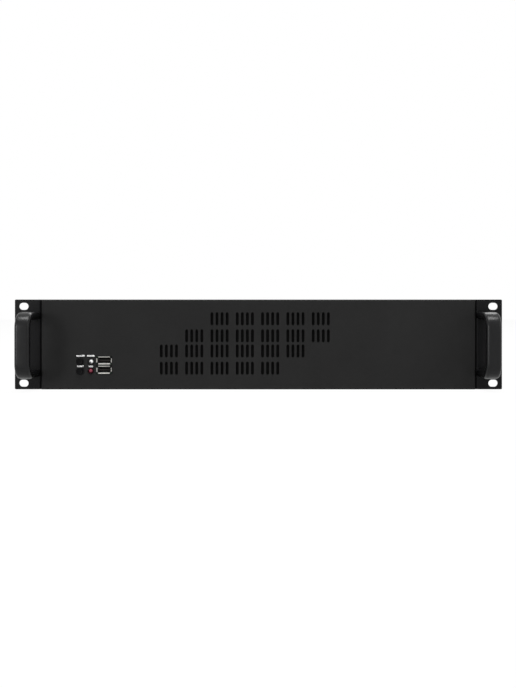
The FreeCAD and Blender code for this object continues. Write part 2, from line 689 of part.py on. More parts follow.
def vent_cuts():
    """Upright round-ended slots in groups, whose rows step sideways across the panel."""
    cuts = []
    plane = Vector(0, PANEL_FACE - OVERCUT, 0)
    run = ALONG_Y * (PANEL_SHEET + 2 * OVERCUT)
    for height, groups in VENT_ROWS.items():
        for group, mark in enumerate(groups):
            if mark != "#":
                continue
            for index in range(VENTS_IN_GROUP):
                x = VENT_FIRST_X + group * VENT_GROUP_PITCH + index * VENT_PITCH
                cuts.append(vent_slot(x, MID + height, VENT_WIDTH, VENT_LENGTH, plane,
                                      ALONG_X, ALONG_Z, run))
    return cuts


def vent_filter():
    """A thin dust filter glued to the back of the front panel, behind all the vents."""
    side = VENT_WIDTH / 2 + FILTER_MARGIN
    rise = VENT_LENGTH / 2 + FILTER_MARGIN
    return box((VENT_FIRST_X - side, VENT_LAST_X + side), (PANEL_INSIDE, PANEL_INSIDE + FILTER_SHEET),
               (MID + min(VENT_ROWS) - rise, MID + max(VENT_ROWS) + rise))


def control_cuts():
    """Holes in the front panel for two buttons, two lamps and two sockets."""
    start = PANEL_FACE - OVERCUT
    through = PANEL_SHEET + 2 * OVERCUT
    cuts = []
    for height in BUTTON_HEIGHTS:
        cuts.append(rod(BUTTON_X, start, BOTTOM + height, BUTTON_DIAMETER / 2 + RUNNING_CLEARANCE,
                        through))
    for height in LAMP_HEIGHTS:
        cuts.append(polygon_bar(LAMP_SIDES, LAMP_X, start, BOTTOM + height,
                                LAMP_DIAMETER + 2 * THREAD_CLEARANCE, through, ALONG_Y))
    half_width = SOCKET_LIP_WIDTH / 2 + HOLE_CLEARANCE
    half_height = SOCKET_LIP_HEIGHT / 2 + HOLE_CLEARANCE
    for height in SOCKET_HEIGHTS:
        middle = BOTTOM + height
        cuts.append(box((SOCKET_X - half_width, SOCKET_X + half_width), (start, start + through),
                        (middle - half_height, middle + half_height)))
    return cuts


def right_ear():
    """An L of thicker sheet: the rack face with two slots, and a flange on the case's side."""
    path = [(HALF, EAR_FLANGE), (HALF, -EAR_SHEET), (EAR_HALF, -EAR_SHEET)]
    ear = sheet(path, EAR_SHEET, EAR_BEND, Vector(0, 0, BOTTOM), ALONG_X, ALONG_Y, ALONG_Z * HEIGHT)
    corners = [edge for edge in edges_along_y(ear) if edge.BoundBox.XMin > EAR_HALF - TINY]
    ear = ear.makeFillet(EAR_CORNER, corners)
    cuts = []
    start = -EAR_SHEET - OVERCUT
    through = EAR_SHEET + 2 * OVERCUT
    for z in (-RACK_SLOT_Z, RACK_SLOT_Z):
        cuts.append(obround(RACK_SLOT_X, z, RACK_SLOT_LENGTH, RACK_SLOT_WIDTH, Vector(0, start, 0),
                            ALONG_X, ALONG_Z, ALONG_Y * through))
    for z in handle_foot_heights():
        cuts.append(countersunk(HANDLE_X, z, THREAD_CLEARANCE, EAR_SHEET + OVERCUT))
    for y, z in ear_screw_places():
        cuts.append(hole(HALF - OVERCUT, y, z, M4_RADIUS + HOLE_CLEARANCE, through, ALONG_X))
    return ear.cut(Part.makeCompound(cuts))


def countersunk(x, z, clearance, length):
    """A countersunk screw's form, flush with the ears' rear face and pointing forward."""
    radius = M4_RADIUS + clearance
    head = EAR_SHEET - SINK_RIM
    cone = tapered(SINK_SIDES, Vector(x, 0, z), ((radius + head, 0), (radius, head)), -ALONG_Y)
    return cone.fuse(polygon_bar(SINK_SIDES, x, 0, z, 2 * radius, length, -ALONG_Y)).removeSplitter()


def tapered(sides, centre, rings, axis):
    """A many-sided solid through rings (radius of the circle that fits inside, distance along)."""
    side_axis = ALONG_Z
    third_axis = axis.cross(side_axis)
    wires = []
    for radius, along in rings:
        outer = radius / math.cos(math.pi / sides)
        corners = []
        for side in range(sides):
            angle = 2 * math.pi * side / sides
            corners.append((outer * math.cos(angle), outer * math.sin(angle), 0))
        wires.append(rounded_wire(corners, centre + axis * along, side_axis, third_axis))
    return Part.makeLoft(wires, True, True)


def right_handle():
    """A bow handle: a band with eased edges swept out from the ear, across and back."""
    front = -EAR_SHEET - HANDLE_REACH + HANDLE_THICKNESS / 2
    bend = HANDLE_CORNER - HANDLE_THICKNESS / 2
    arc_shift = bend * (1 - math.cos(math.pi / 4))

    def at(y, z):
        return Vector(HANDLE_X, y, MID + z)

    def bend_arc(sign):
        return Part.Arc(at(front + bend, sign * HANDLE_RISE),
                        at(front + arc_shift, sign * (HANDLE_RISE - arc_shift)),
                        at(front, sign * (HANDLE_RISE - bend))).toShape()

    path = Part.Wire([
        Part.LineSegment(at(-EAR_SHEET, HANDLE_RISE), at(front + bend, HANDLE_RISE)).toShape(),
        bend_arc(1),
        Part.LineSegment(at(front, HANDLE_RISE - bend), at(front, bend - HANDLE_RISE)).toShape(),
        bend_arc(-1),
        Part.LineSegment(at(front + bend, -HANDLE_RISE), at(-EAR_SHEET, -HANDLE_RISE)).toShape(),
    ])
    section = rounded_wire(handle_section(), at(-EAR_SHEET, HANDLE_RISE), ALONG_X, ALONG_Z)
    handle = path.makePipeShell([section], True, True)
    for z in handle_foot_heights():
        handle = handle.cut(polygon_bar(SINK_SIDES, HANDLE_X, -EAR_SHEET + OVERCUT, z,
                                        2 * (M4_RADIUS + THREAD_CLEARANCE),
                                        HANDLE_SCREW_DEPTH + 2 * OVERCUT, -ALONG_Y))
    return handle


def handle_section():
    """The band's section, with each edge eased by a few short chords of a quarter circle."""
    side = HANDLE_WIDTH / 2 - HANDLE_EDGE
    depth = HANDLE_THICKNESS / 2 - HANDLE_EDGE
    corners = []
    for quarter, (u, v) in enumerate(((side, depth), (-side, depth), (-side, -depth), (side, -depth))):
        for step in range(HANDLE_EDGE_CHORDS + 1):
            angle = math.pi / 2 * (quarter + step / HANDLE_EDGE_CHORDS)
            corners.append((u + HANDLE_EDGE * math.cos(angle), v + HANDLE_EDGE * math.sin(angle), 0))
    return corners


def handle_foot_heights():
    """Heights of the two feet of a handle."""
    return MID - HANDLE_RISE, MID + HANDLE_RISE


def ear_screw_places():
    """Depth and height of each screw that holds an ear to the case's side."""
    return [(y, MID + side * EAR_SCREW_RISE) for y in EAR_SCREW_YS for side in (-1, 1)]


def panel_screw_places():
    """The four screws that hold the front panel's lips to the wall behind them."""
    return [(side * PANEL_SCREW_X, MID + end * PANEL_SCREW_RISE)
            for side in (-1, 1) for end in (-1, 1)]


def fan_holes(fan_x):
    """The four corner holes of a fan."""
    half = FAN_HOLE_SPAN / 2
    return [(fan_x + i * half, FAN_Z + j * half) for i in (-1, 1) for j in (-1, 1)]


def rivet_heights():
    """Heights of the rivets that hold each side of the rear panel."""
    return [MID + share * HEIGHT for share in RIVET_SHARES]


def supply_screw_places():
    """The four screws of a power supply's rear face."""
    left = SUPPLY_LEFT + SUPPLY_SCREW_INSET
    high = LEDGE_TOP - SUPPLY_SCREW_INSET
    low = FLOOR + SUPPLY_SCREW_INSET
    return [(left, high), (SUPPLY_RIGHT - SUPPLY_SCREW_INSET, high),
            (left, low + SUPPLY_SCREW_STEP), (SUPPLY_RIGHT - SUPPLY_LOW_SCREW_INSET, low)]


def standoff_places():
    """Where the mainboard's standoffs stand on the floor."""
    return [(MAINBOARD_RIGHT - inward * MAINBOARD_WIDTH, MAINBOARD_REAR - forward * MAINBOARD_DEPTH)
            for inward, forward in MAINBOARD_HOLE_SHARES]


def drive_screw_places():
    """The four screws that hold the drive bracket's feet."""
    reach = DRIVE_WIDTH / 2 + (DRIVE_FOOT + DRIVE_SHEET) / 2
    return [(DRIVE_X + side * reach, y)
            for side in (-1, 1) for y in (DRIVE_Y[0] + DRIVE_FOOT, DRIVE_Y[1] - DRIVE_FOOT)]


def wall_screw_places():
    """The screws that hold the fan wall's foot to the floor, clear of the fans."""
    y = TRAY_FRONT + (TRAY_SHEET + TRAY_BEND + FRONT_FOOT) / 2
    outer = HALF - WALL_SCREW_INSET
    reach = FAN_SIZE / 2 + WALL_SCREW_ROOM
    return [(x, y) for x in (-outer, FAN_XS[0] - reach, FAN_XS[1] + reach, outer)]


def floor_screw_places():
    """All the screws that enter the floor."""
    return drive_screw_places() + wall_screw_places()


def pan_screw(x, y, z, radius, length, axis):
    """A screw whose low head sits on (x, y, z) and whose shank runs along axis."""
    head = polygon_bar(HEAD_SIDES, x, y, z, HEAD_WIDTH_RATIO * radius, HEAD_HEIGHT_RATIO * radius,
                       -axis)
    return head.fuse(shank(x, y, z, radius, length, axis)).removeSplitter()


def handle_screws():
    """Four countersunk screws from behind the ears into the handles' feet."""
    return Part.makeCompound([countersunk(side * HANDLE_X, z, 0, EAR_SHEET + HANDLE_SCREW_DEPTH)
                              for side in (-1, 1) for z in handle_foot_heights()])


def ear_screws():
    """Eight screws through the ears' flanges into the tray's walls."""
    screws = []
    for side in (-1, 1):
        for y, z in ear_screw_places():
            screws.append(pan_screw(side * (HALF + EAR_SHEET), y, z, M4_RADIUS,
                                    EAR_SHEET + TRAY_SHEET + NUT_SPARE, ALONG_X * -side))
    return Part.makeCompound(screws)


def panel_screws():
    """Four screws from behind the fan wall into the front panel's lips."""
    length = TRAY_SHEET + PANEL_SHEET + NUT_SPARE
    return Part.makeCompound([pan_screw(x, WALL_BACK, z, M3_RADIUS, length, -ALONG_Y)
                              for x, z in panel_screw_places()])


def thumbscrews():
    """Three captive screws with many-sided grips in the cover's rear tabs."""
    screws = []
    for x in COVER_TAB_XS:
        grip = polygon_bar(HEAD_SIDES, x, COVER_REAR, COVER_SCREW_Z, THUMB_FLATS, THUMB_LENGTH,
                           ALONG_Y)
        thread = shank(x, COVER_REAR, COVER_SCREW_Z, M3_RADIUS, THUMB_SHANK, -ALONG_Y)
        screws.append(grip.fuse(thread).removeSplitter())
    return Part.makeCompound(screws)


def rear_rivets():
    """Six blind rivets through the tray's walls and the rear panel's flanges."""
    rivets = []
    for side in (-1, 1):
        for z in rivet_heights():
            x = side * HALF
            head = polygon_bar(HEAD_SIDES, x, RIVET_Y, z, 2 * RIVET_HEAD, RIVET_HEAD_HEIGHT,
                               ALONG_X * side)
            body = shank(x, RIVET_Y, z, RIVET_RADIUS, 2 * TRAY_SHEET + RIVET_TAIL, ALONG_X * -side)
            rivets.append(head.fuse(body).removeSplitter())
    return Part.makeCompound(rivets)


def card_covers():
    """Blank covers inside the rear panel, each with a bent tab screwed to the shelf."""
    tab_end = REAR_INSIDE + SHELF_DEPTH - CARD_TAB_SETBACK
    path = [(REAR_INSIDE, FLOOR), (REAR_INSIDE, SHELF_TOP), (tab_end, SHELF_TOP)]
    covers = []
    for x in CARD_XS:
        cover = sheet(path, CARD_COVER_SHEET, CARD_COVER_BEND, Vector(x - CARD_COVER_WIDTH / 2, 0, 0),
                      ALONG_Y, ALONG_Z, ALONG_X * CARD_COVER_WIDTH)
        covers.append(cover.cut(hole(x, CARD_SCREW_Y, SHELF_TOP - OVERCUT, M3_RADIUS + HOLE_CLEARANCE,
                                     CARD_COVER_SHEET + 2 * OVERCUT, ALONG_Z)))
    return Part.makeCompound(covers)


def card_screws():
    """One screw for each card cover, down through its tab and the shelf."""
    top = SHELF_TOP + CARD_COVER_SHEET
    return Part.makeCompound([pan_screw(x, CARD_SCREW_Y, top, M3_RADIUS, CARD_SCREW_LENGTH, -ALONG_Z)
                              for x in CARD_XS])


def standoffs():
    """Threaded hexagonal posts, welded to the floor, that carry the mainboard."""
    posts = []
    for x, y in standoff_places():
        post = polygon_bar(STANDOFF_SIDES, x, y, FLOOR, STANDOFF_FLATS, STANDOFF_HEIGHT, ALONG_Z)
        posts.append(post.cut(hole(x, y, FLOOR + STANDOFF_SOLID, STANDOFF_BORE / 2, STANDOFF_HEIGHT,
                                   ALONG_Z)))
    return Part.makeCompound(posts)


def drive_bracket():
    """A hat-shaped bracket that a drive slides into, slotted for the drive's side screws."""
    left = DRIVE_X - DRIVE_WIDTH / 2
    right = DRIVE_X + DRIVE_WIDTH / 2
    roof = FLOOR + DRIVE_HEIGHT
    path = [
        (left - DRIVE_FOOT, FLOOR), (left, FLOOR), (left, roof),
        (right, roof), (right, FLOOR), (right + DRIVE_FOOT, FLOOR),
    ]
    depth = DRIVE_Y[1] - DRIVE_Y[0]
    bracket = sheet(path, DRIVE_SHEET, TRAY_BEND, Vector(0, DRIVE_Y[0], 0), ALONG_X, ALONG_Z,
                    ALONG_Y * depth)
    cuts = []
    middle = (DRIVE_Y[0] + DRIVE_Y[1]) / 2
    side = Vector(left - DRIVE_SHEET - OVERCUT, 0, 0)
    run = ALONG_X * (DRIVE_WIDTH + 2 * (DRIVE_SHEET + OVERCUT))
    for share in DRIVE_SLOT_SHARES:
        cuts.append(vent_slot(FLOOR + DRIVE_SLOT_RISE, middle + share * depth, DRIVE_SLOT_WIDTH,
                              DRIVE_SLOT_LENGTH, side, ALONG_Z, ALONG_Y, run))
    long, wide = DRIVE_ROOF_HOLE
    for share in DRIVE_ROOF_SHARES:
        cuts.append(vent_slot(middle + share * depth, DRIVE_X, wide, long,
                              Vector(0, 0, roof - OVERCUT), ALONG_Y, ALONG_X,
                              ALONG_Z * (DRIVE_SHEET + 2 * OVERCUT)))
    for x, y in drive_screw_places():
        cuts.append(hole(x, y, FLOOR - OVERCUT, M3_RADIUS + HOLE_CLEARANCE,
                         DRIVE_SHEET + 2 * OVERCUT, ALONG_Z))
    return bracket.cut(Part.makeCompound(cuts))


def floor_screws():
    """Screws down through the feet of the drive bracket and the fan wall into the floor."""
    screws = []
    for places, foot in ((drive_screw_places(), DRIVE_SHEET), (wall_screw_places(), TRAY_SHEET)):
        for x, y in places:
            screws.append(pan_screw(x, y, FLOOR + foot, M3_RADIUS, foot + TRAY_SHEET, -ALONG_Z))
    return Part.makeCompound(screws)


def fan_frame(fan_x):
    """A fan's square frame with two flanges, its bore, and the hub plate on four struts."""
    half = FAN_SIZE / 2
    square = half - FAN_CORNER
    corners = []
    for u, v in ((1, 1), (-1, 1), (-1, -1), (1, -1)):
        ends = [(u * half, v * square, 0), (u * square, v * half, 0)]
        corners += ends if u == v else ends[::-1]
    barrel = (FAN_SIZE - 2 * FAN_BARREL_INSET) * math.cos(math.pi / FAN_SIDES)
    pieces = [polygon_bar(FAN_SIDES, fan_x, WALL_BACK, FAN_Z, barrel, FAN_DEPTH, ALONG_Y)]
    for start in (WALL_BACK, FAN_BACK - FAN_FLANGE):
        pieces.append(prism(corners, Vector(fan_x, start, FAN_Z), ALONG_X, ALONG_Z,
                            ALONG_Y * FAN_FLANGE))
    frame = fuse(pieces)
    frame = frame.cut(polygon_bar(FAN_SIDES, fan_x, WALL_BACK - OVERCUT, FAN_Z, FAN_BORE,
                                  FAN_DEPTH + 2 * OVERCUT, ALONG_Y))
    plate_start = FAN_BACK - FAN_HUB_PLATE
    motor = [
        polygon_bar(FAN_HUB_SIDES, fan_x, plate_start, FAN_Z, FAN_HUB, FAN_HUB_PLATE, ALONG_Y),
        polygon_bar(FAN_HUB_SIDES, fan_x, STATOR_START, FAN_Z, FAN_STATOR,
                    plate_start - STATOR_START, ALONG_Y),
    ]
    reach = FAN_BORE / 2 + FAN_WALL / 2
    for turn in range(FAN_STRUTS):
        strut = box((0, reach), (plate_start, FAN_BACK), (-FAN_STRUT / 2, FAN_STRUT / 2))
        strut.translate(Vector(fan_x, 0, FAN_Z))
        strut.rotate(Vector(fan_x, 0, FAN_Z), ALONG_Y, 360 / FAN_STRUTS * (turn + 0.5))
        motor.append(strut)
    frame = fuse([frame] + motor)
    cuts = [rod(fan_x, STATOR_START - OVERCUT, FAN_Z, FAN_SHAFT / 2 + RUNNING_CLEARANCE, FAN_DEPTH)]
    for x, z in fan_holes(fan_x):
        cuts.append(hole(x, WALL_BACK - OVERCUT, z, M4_RADIUS + THREAD_CLEARANCE,
                         FAN_DEPTH + 2 * OVERCUT))
    return frame.cut(Part.makeCompound(cuts))


def fan_blade():
    """A slanted blade above the fan's axis, wider at its tip than at its root."""
    slope = math.radians(BLADE_ANGLE)
    middle_y = WALL_BACK + (FAN_FRONT_GAP + FAN_DEPTH - FAN_HUB_PLATE) / 2
    root = FAN_HUB / 2 - BLADE_ROOT_LAP
    tip = FAN_TIP - BLADE_THICKNESS
    corners = [(-BLADE_CHORD_ROOT / 2, root, 0), (BLADE_CHORD_ROOT / 2, root, 0),
               (BLADE_CHORD_TIP / 2, tip, 0), (-BLADE_CHORD_TIP / 2, tip, 0)]
    return prism(corners, Vector(0, middle_y, 0), Vector(math.cos(slope), math.sin(slope), 0), ALONG_Z,
                 Vector(-math.sin(slope), math.cos(slope), 0) * BLADE_THICKNESS)


def fan_rotor(fan_x):
    """The turning part of a fan: a cup over the motor, its shaft, and its slanted blades."""
    start = WALL_BACK + FAN_FRONT_GAP
    end = FAN_BACK - FAN_HUB_PLATE - FAN_REAR_GAP
    hub = FAN_HUB / 2
    cup = tapered(FAN_HUB_SIDES, Vector(0, start, 0),
                  ((hub - FAN_HUB_EDGE, 0), (hub, FAN_HUB_EDGE), (hub, end - start)), ALONG_Y)
    blades = []
    for index in range(BLADES):
        blade = fan_blade()
        blade.rotate(ORIGIN, ALONG_Y, 360 / BLADES * index)
        blades.append(blade)
    wheel = cup.fuse(blades)
    wheel = wheel.cut(polygon_bar(FAN_HUB_SIDES, 0, start + FAN_HUB_WALL, 0, FAN_HUB - 2 * FAN_HUB_WALL,
                                  FAN_DEPTH, ALONG_Y))
    shaft_start = start + FAN_HUB_WALL / 2
    shaft = rod(0, shaft_start, 0, FAN_SHAFT / 2, FAN_BACK - FAN_SHAFT_SETBACK - shaft_start)
    wheel = wheel.fuse(shaft).removeSplitter()
    wheel.translate(Vector(fan_x, 0, FAN_Z))
    return wheel


def fan_screws():
    """Eight screws from the front of the fan wall into the fans' corners."""
    return Part.makeCompound([pan_screw(x, TRAY_FRONT, z, M4_RADIUS, FAN_SCREW_LENGTH, ALONG_Y)
                              for fan_x in FAN_XS for x, z in fan_holes(fan_x)])


def push_button(height):
    """A button cap with its collar behind the panel and the stem that enters the switch."""
    z = BOTTOM + height
    front = PANEL_FACE - BUTTON_PROUD
    cap = rod(BUTTON_X, front, z, BUTTON_DIAMETER / 2, BUTTON_SEAT - front)
    cap = cap.makeChamfer(BUTTON_EDGE, edges_at(cap, front))
    collar = polygon_bar(BUTTON_FLANGE_SIDES, BUTTON_X, BUTTON_SEAT, z, BUTTON_FLANGE, BUTTON_FLANGE_DEPTH,
                         ALONG_Y)
    stem = rod(BUTTON_X, BUTTON_SEAT, z, BUTTON_STEM / 2, BUTTON_FLANGE_DEPTH + BUTTON_STEM_DEPTH)
    return fuse([cap, collar, stem])


def switch_body(height):
    """A square push switch on the control board, bored for its button's stem."""
    z = BOTTOM + height
    half = SWITCH_SIZE / 2
    body = box((BUTTON_X - half, BUTTON_X + half), (SWITCH_FRONT, CONTROL_BOARD_Y),
               (z - half, z + half))
    body = body.makeChamfer(SWITCH_EDGE, edges_along_y(body))
    return body.cut(rod(BUTTON_X, SWITCH_FRONT - OVERCUT, z, BUTTON_STEM / 2 + RUNNING_CLEARANCE,
                        OVERCUT + BUTTON_STEM_DEPTH + BUTTON_BORE_GAP))


def lamp(height):
    """A domed lamp with its rim and two legs down to the control board."""
    z = BOTTOM + height
    radius = LAMP_DIAMETER / 2
    front = PANEL_FACE - LAMP_PROUD
    back = front + LAMP_BODY
    rings = []
    for step in range(1, LAMP_RINGS + 1):
        angle = math.pi / 2 * step / LAMP_RINGS
        rings.append((radius * math.sin(angle), radius * (1 - math.cos(angle))))
    rings.append((radius, LAMP_BODY))
    pieces = [
        tapered(LAMP_SIDES, Vector(LAMP_X, front, z), rings, ALONG_Y),
        polygon_bar(LAMP_SIDES, LAMP_X, back - LAMP_RIM_DEPTH, z, LAMP_RIM, LAMP_RIM_DEPTH, ALONG_Y),
    ]
    half = LAMP_LEG / 2
    for side in (-1, 1):
        x = LAMP_X + side * LAMP_LEG_PITCH / 2
        pieces.append(box((x - half, x + half), (back - LAMP_LEG_LAP, CONTROL_BOARD_Y),
                          (z - half, z + half)))
    return fuse(pieces)


def socket_shell(height):
    """A socket's folded metal shell with four flared lips at its mouth."""
    z = BOTTOM + height
    root = SOCKET_MOUTH + SOCKET_LIP_DEPTH
    half_width = SOCKET_WIDTH / 2
    half_height = SOCKET_HEIGHT / 2
    outer = []
    inner = []
    for u, v in ((-1, -1), (1, -1), (1, 1), (-1, 1)):
        outer.append((u * half_width, v * half_height, SOCKET_CORNER))
        inner.append((u * (half_width - SOCKET_WALL), v * (half_height - SOCKET_WALL),
                      SOCKET_CORNER - SOCKET_WALL))
    run = ALONG_Y * (CONTROL_BOARD_Y - root)
    centre = Vector(SOCKET_X, root, z)
    shell = prism(outer, centre, ALONG_X, ALONG_Z, run)
    shell = shell.cut(prism(inner, centre, ALONG_X, ALONG_Z, run))
    pieces = [shell]
    overlap = root + SOCKET_LIP_LAP
    for half, lip_half, length, across, up in (
        (half_height, SOCKET_LIP_HEIGHT / 2, SOCKET_WIDTH - 2 * SOCKET_LIP_INSET, ALONG_X, ALONG_Z),
        (half_width, SOCKET_LIP_WIDTH / 2, SOCKET_HEIGHT - 2 * SOCKET_LIP_INSET, ALONG_Z, ALONG_X),
    ):
        section = [(overlap, half - SOCKET_WALL, 0), (overlap, half, 0), (root, half, 0),
                   (SOCKET_MOUTH, lip_half, 0), (SOCKET_MOUTH, lip_half - SOCKET_WALL, 0),
                   (root, half - SOCKET_WALL, 0)]
        for side in (-1, 1):
            start = Vector(SOCKET_X, 0, z) - across * (length / 2)
            pieces.append(prism(section, start, ALONG_Y, up * side, across * length))
    return fuse(pieces)


def socket_insulator(height):
    """The moulded block inside a socket, with the tongue that carries its contacts."""
    z = BOTTOM + height
    clear = SOCKET_WALL + SOCKET_FIT
    half_width = SOCKET_WIDTH / 2 - clear
    half_height = SOCKET_HEIGHT / 2 - clear
    block_start = CONTROL_BOARD_Y - SOCKET_BLOCK
    block = box((SOCKET_X - half_width, SOCKET_X + half_width), (block_start, CONTROL_BOARD_Y),
                (z - half_height, z + half_height))
    block = block.makeChamfer(BLOCK_EDGE, edges_along_y(block))
    start = SOCKET_MOUTH + TONGUE_SETBACK
    tongue = box((SOCKET_X - TONGUE_WIDTH / 2, SOCKET_X + TONGUE_WIDTH / 2),
                 (start, block_start + TONGUE_LAP),
                 (z - TONGUE_THICKNESS / 2, z + TONGUE_THICKNESS / 2))
    nose = [edge for edge in edges_at(tongue, start) if edge.BoundBox.ZLength < TINY]
    return fuse([block, tongue.makeChamfer(TONGUE_EDGE, nose)])


def socket_contacts():
    """Flat contacts under the tongue of each socket."""
    contacts = []
    start = SOCKET_MOUTH + TONGUE_SETBACK + CONTACT_SETBACK
    half = CONTACT_WIDTH / 2
    for height in SOCKET_HEIGHTS:
        under = BOTTOM + height - TONGUE_THICKNESS / 2
        for index in range(CONTACTS):
            x = SOCKET_X + (index - (CONTACTS - 1) / 2) * CONTACT_PITCH
            contacts.append(box((x - half, x + half), (start, CONTROL_BOARD_Y - SOCKET_BLOCK),
                                (under - CONTACT_THICKNESS, under)))
    return Part.makeCompound(contacts)


def spacer_places():
    """The four corners where the control board is held off the front panel."""
    left, right = CONTROL_BOARD_X
    low, high = CONTROL_BOARD_Z
    return [(x, z) for x in (left + SPACER_INSET, right - SPACER_INSET)
            for z in (low + SPACER_INSET, high - SPACER_INSET)]


def control_board():
    """The circuit board behind the buttons, lamps and sockets."""
    board = box(CONTROL_BOARD_X, (CONTROL_BOARD_Y, CONTROL_BOARD_Y + CONTROL_BOARD_SHEET),
                CONTROL_BOARD_Z)
    board = board.makeChamfer(CONTROL_BOARD_CORNER, edges_along_y(board))
    holes = [hole(x, CONTROL_BOARD_Y - OVERCUT, z, M3_RADIUS + HOLE_CLEARANCE,
                  CONTROL_BOARD_SHEET + 2 * OVERCUT) for x, z in spacer_places()]
    return board.cut(Part.makeCompound(holes))


def board_spacers():
    """Four threaded hexagonal spacers pressed into the back of the front panel."""
    spacers = []
    for x, z in spacer_places():
        spacer = polygon_bar(STANDOFF_SIDES, x, PANEL_INSIDE, z, SPACER_FLATS, BOARD_STANDOFF, ALONG_Y)
        spacers.append(spacer.cut(hole(x, CONTROL_BOARD_Y - SPACER_BORE_DEPTH, z,
                                       M3_RADIUS + THREAD_CLEARANCE, SPACER_BORE_DEPTH + OVERCUT)))
    return Part.makeCompound(spacers)


def board_screws():
    """Four screws that hold the control board to its spacers."""
    back = CONTROL_BOARD_Y + CONTROL_BOARD_SHEET
    length = CONTROL_BOARD_SHEET + SPACER_SCREW_DEPTH
    return Part.makeCompound([pan_screw(x, back, z, M3_RADIUS, length, -ALONG_Y)
                              for x, z in spacer_places()])


def build_nodes():
    """Every piece of the case by name."""
    ear = right_ear()
    handle = right_handle()
    nodes = {
        "base_tray": tray(),
        "fan_wall": fan_wall(),
        "rear_panel": rear_panel(),
        "rear_rivets": rear_rivets(),
        "top_cover": top_cover(),
        "cover_thumbscrews": thumbscrews(),
        "front_panel": front_panel(),
        "vent_filter": vent_filter(),
        "panel_screws": panel_screws(),
        "right_ear": ear,
        "left_ear": mirrored(ear),
        "ear_screws": ear_screws(),
        "right_handle": handle,
        "left_handle": mirrored(handle),
        "handle_screws": handle_screws(),
        "card_covers": card_covers(),
        "card_cover_screws": card_screws(),
        "board_standoffs": standoffs(),
        "drive_bracket": drive_bracket(),
        "floor_screws": floor_screws(),
        "fan_screws": fan_screws(),
        "control_board": control_board(),
        "control_board_spacers": board_spacers(),
        "control_board_screws": board_screws(),
        "socket_contacts": socket_contacts(),
    }
    for name, fan_x in zip(("left", "right"), FAN_XS):
        nodes[name + "_fan_frame"] = fan_frame(fan_x)
        nodes[name + "_fan_rotor"] = fan_rotor(fan_x)
    for name, height in zip(("power", "reset"), BUTTON_HEIGHTS):
        nodes[name + "_button"] = push_button(height)
        nodes[name + "_switch"] = switch_body(height)
    for name, height in zip(("power", "drive"), LAMP_HEIGHTS):
        nodes[name + "_lamp"] = lamp(height)
    for name, height in zip(("upper", "lower"), SOCKET_HEIGHTS):
        nodes[name + "_socket_shell"] = socket_shell(height)
        nodes[name + "_socket_insulator"] = socket_insulator(height)
    return nodes


os.makedirs("parts", exist_ok=True)
for node_name, node_shape in build_nodes().items():
    node_shape.exportStep(os.path.join("parts", node_name + ".step"))
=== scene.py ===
"""Dress of a two-unit rack-mount computer case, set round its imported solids."""
import logging
import math
from dataclasses import dataclass, field
from enum import Enum
from typing import Optional, Union

import bmesh
import bpy
import numpy as np
from mathutils import Matrix, Vector


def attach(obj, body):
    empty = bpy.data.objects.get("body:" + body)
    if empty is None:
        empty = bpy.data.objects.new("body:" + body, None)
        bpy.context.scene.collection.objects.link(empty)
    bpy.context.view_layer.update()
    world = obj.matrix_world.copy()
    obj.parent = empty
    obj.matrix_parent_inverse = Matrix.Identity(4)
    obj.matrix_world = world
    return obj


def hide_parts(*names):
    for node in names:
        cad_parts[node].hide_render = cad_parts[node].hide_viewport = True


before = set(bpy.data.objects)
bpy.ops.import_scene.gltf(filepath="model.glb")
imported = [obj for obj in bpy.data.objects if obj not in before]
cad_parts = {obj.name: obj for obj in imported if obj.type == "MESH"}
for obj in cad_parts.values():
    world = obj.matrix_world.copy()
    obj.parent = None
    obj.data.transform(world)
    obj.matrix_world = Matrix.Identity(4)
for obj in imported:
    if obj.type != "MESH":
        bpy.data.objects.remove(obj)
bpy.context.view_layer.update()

MM = 0.001
MIDDLE = 0.4
HANDLE_X = 223.2
MERGE_DISTANCE = 1e-7
LEAST_EDGE = 1e-8
WAVE_PERIOD = 0.314
BACKGROUND_RAYS = ("Is Camera Ray", "Is Glossy Ray", "Is Transmission Ray")
ACROSS = np.array([1.0, 0.0, 0.0])
BACK = np.array([0.0, 1.0, 0.0])
UP = np.array([0.0, 0.0, 1.0])
WHITE = (1.0, 1.0, 1.0, 1.0)
LOG = logging.getLogger("case")

Value = Union["Signal", float]
Colour = Triple = tuple[float, float, float]
Pair = tuple[float, float]
Socket = bpy.types.NodeSocket
Array = np.ndarray


class Signal:
    """A number that varies over a surface, held as one output socket of a node."""

    def __init__(self, sheet: "NodeSheet", socket: Socket) -> None:
        """Keeps the output socket and the sheet whose nodes it belongs to."""
        self.sheet = sheet
        self.socket = socket

    def _with(self, operation: str, first: Value, second: Value) -> "Signal":
        """The result of a Math node on two values."""
        node = self.sheet.node("ShaderNodeMath", {0: first, 1: second}, operation=operation)
        return Signal(self.sheet, node.outputs[0])

    def __add__(self, other: Value) -> "Signal":
        """This plus another value."""
        return self._with("ADD", self, other)

    __radd__ = __add__

    def __sub__(self, other: Value) -> "Signal":
        """This less another value."""
        return self._with("SUBTRACT", self, other)

    def __rsub__(self, other: Value) -> "Signal":
        """Another value less this."""
        return self._with("SUBTRACT", other, self)

    def __mul__(self, other: Value) -> "Signal":
        """This times another value."""
        return self._with("MULTIPLY", self, other)

    __rmul__ = __mul__

    def __pow__(self, other: Value) -> "Signal":
        """This raised to a power."""
        return self._with("POWER", self, other)

    def above(self, edge: float) -> "Signal":
        """One where this is more than the edge, and nothing elsewhere."""
        return self._with("GREATER_THAN", self, edge)

    def most(self, other: Value) -> "Signal":
        """The larger of this and another value."""
        return self._with("MAXIMUM", self, other)


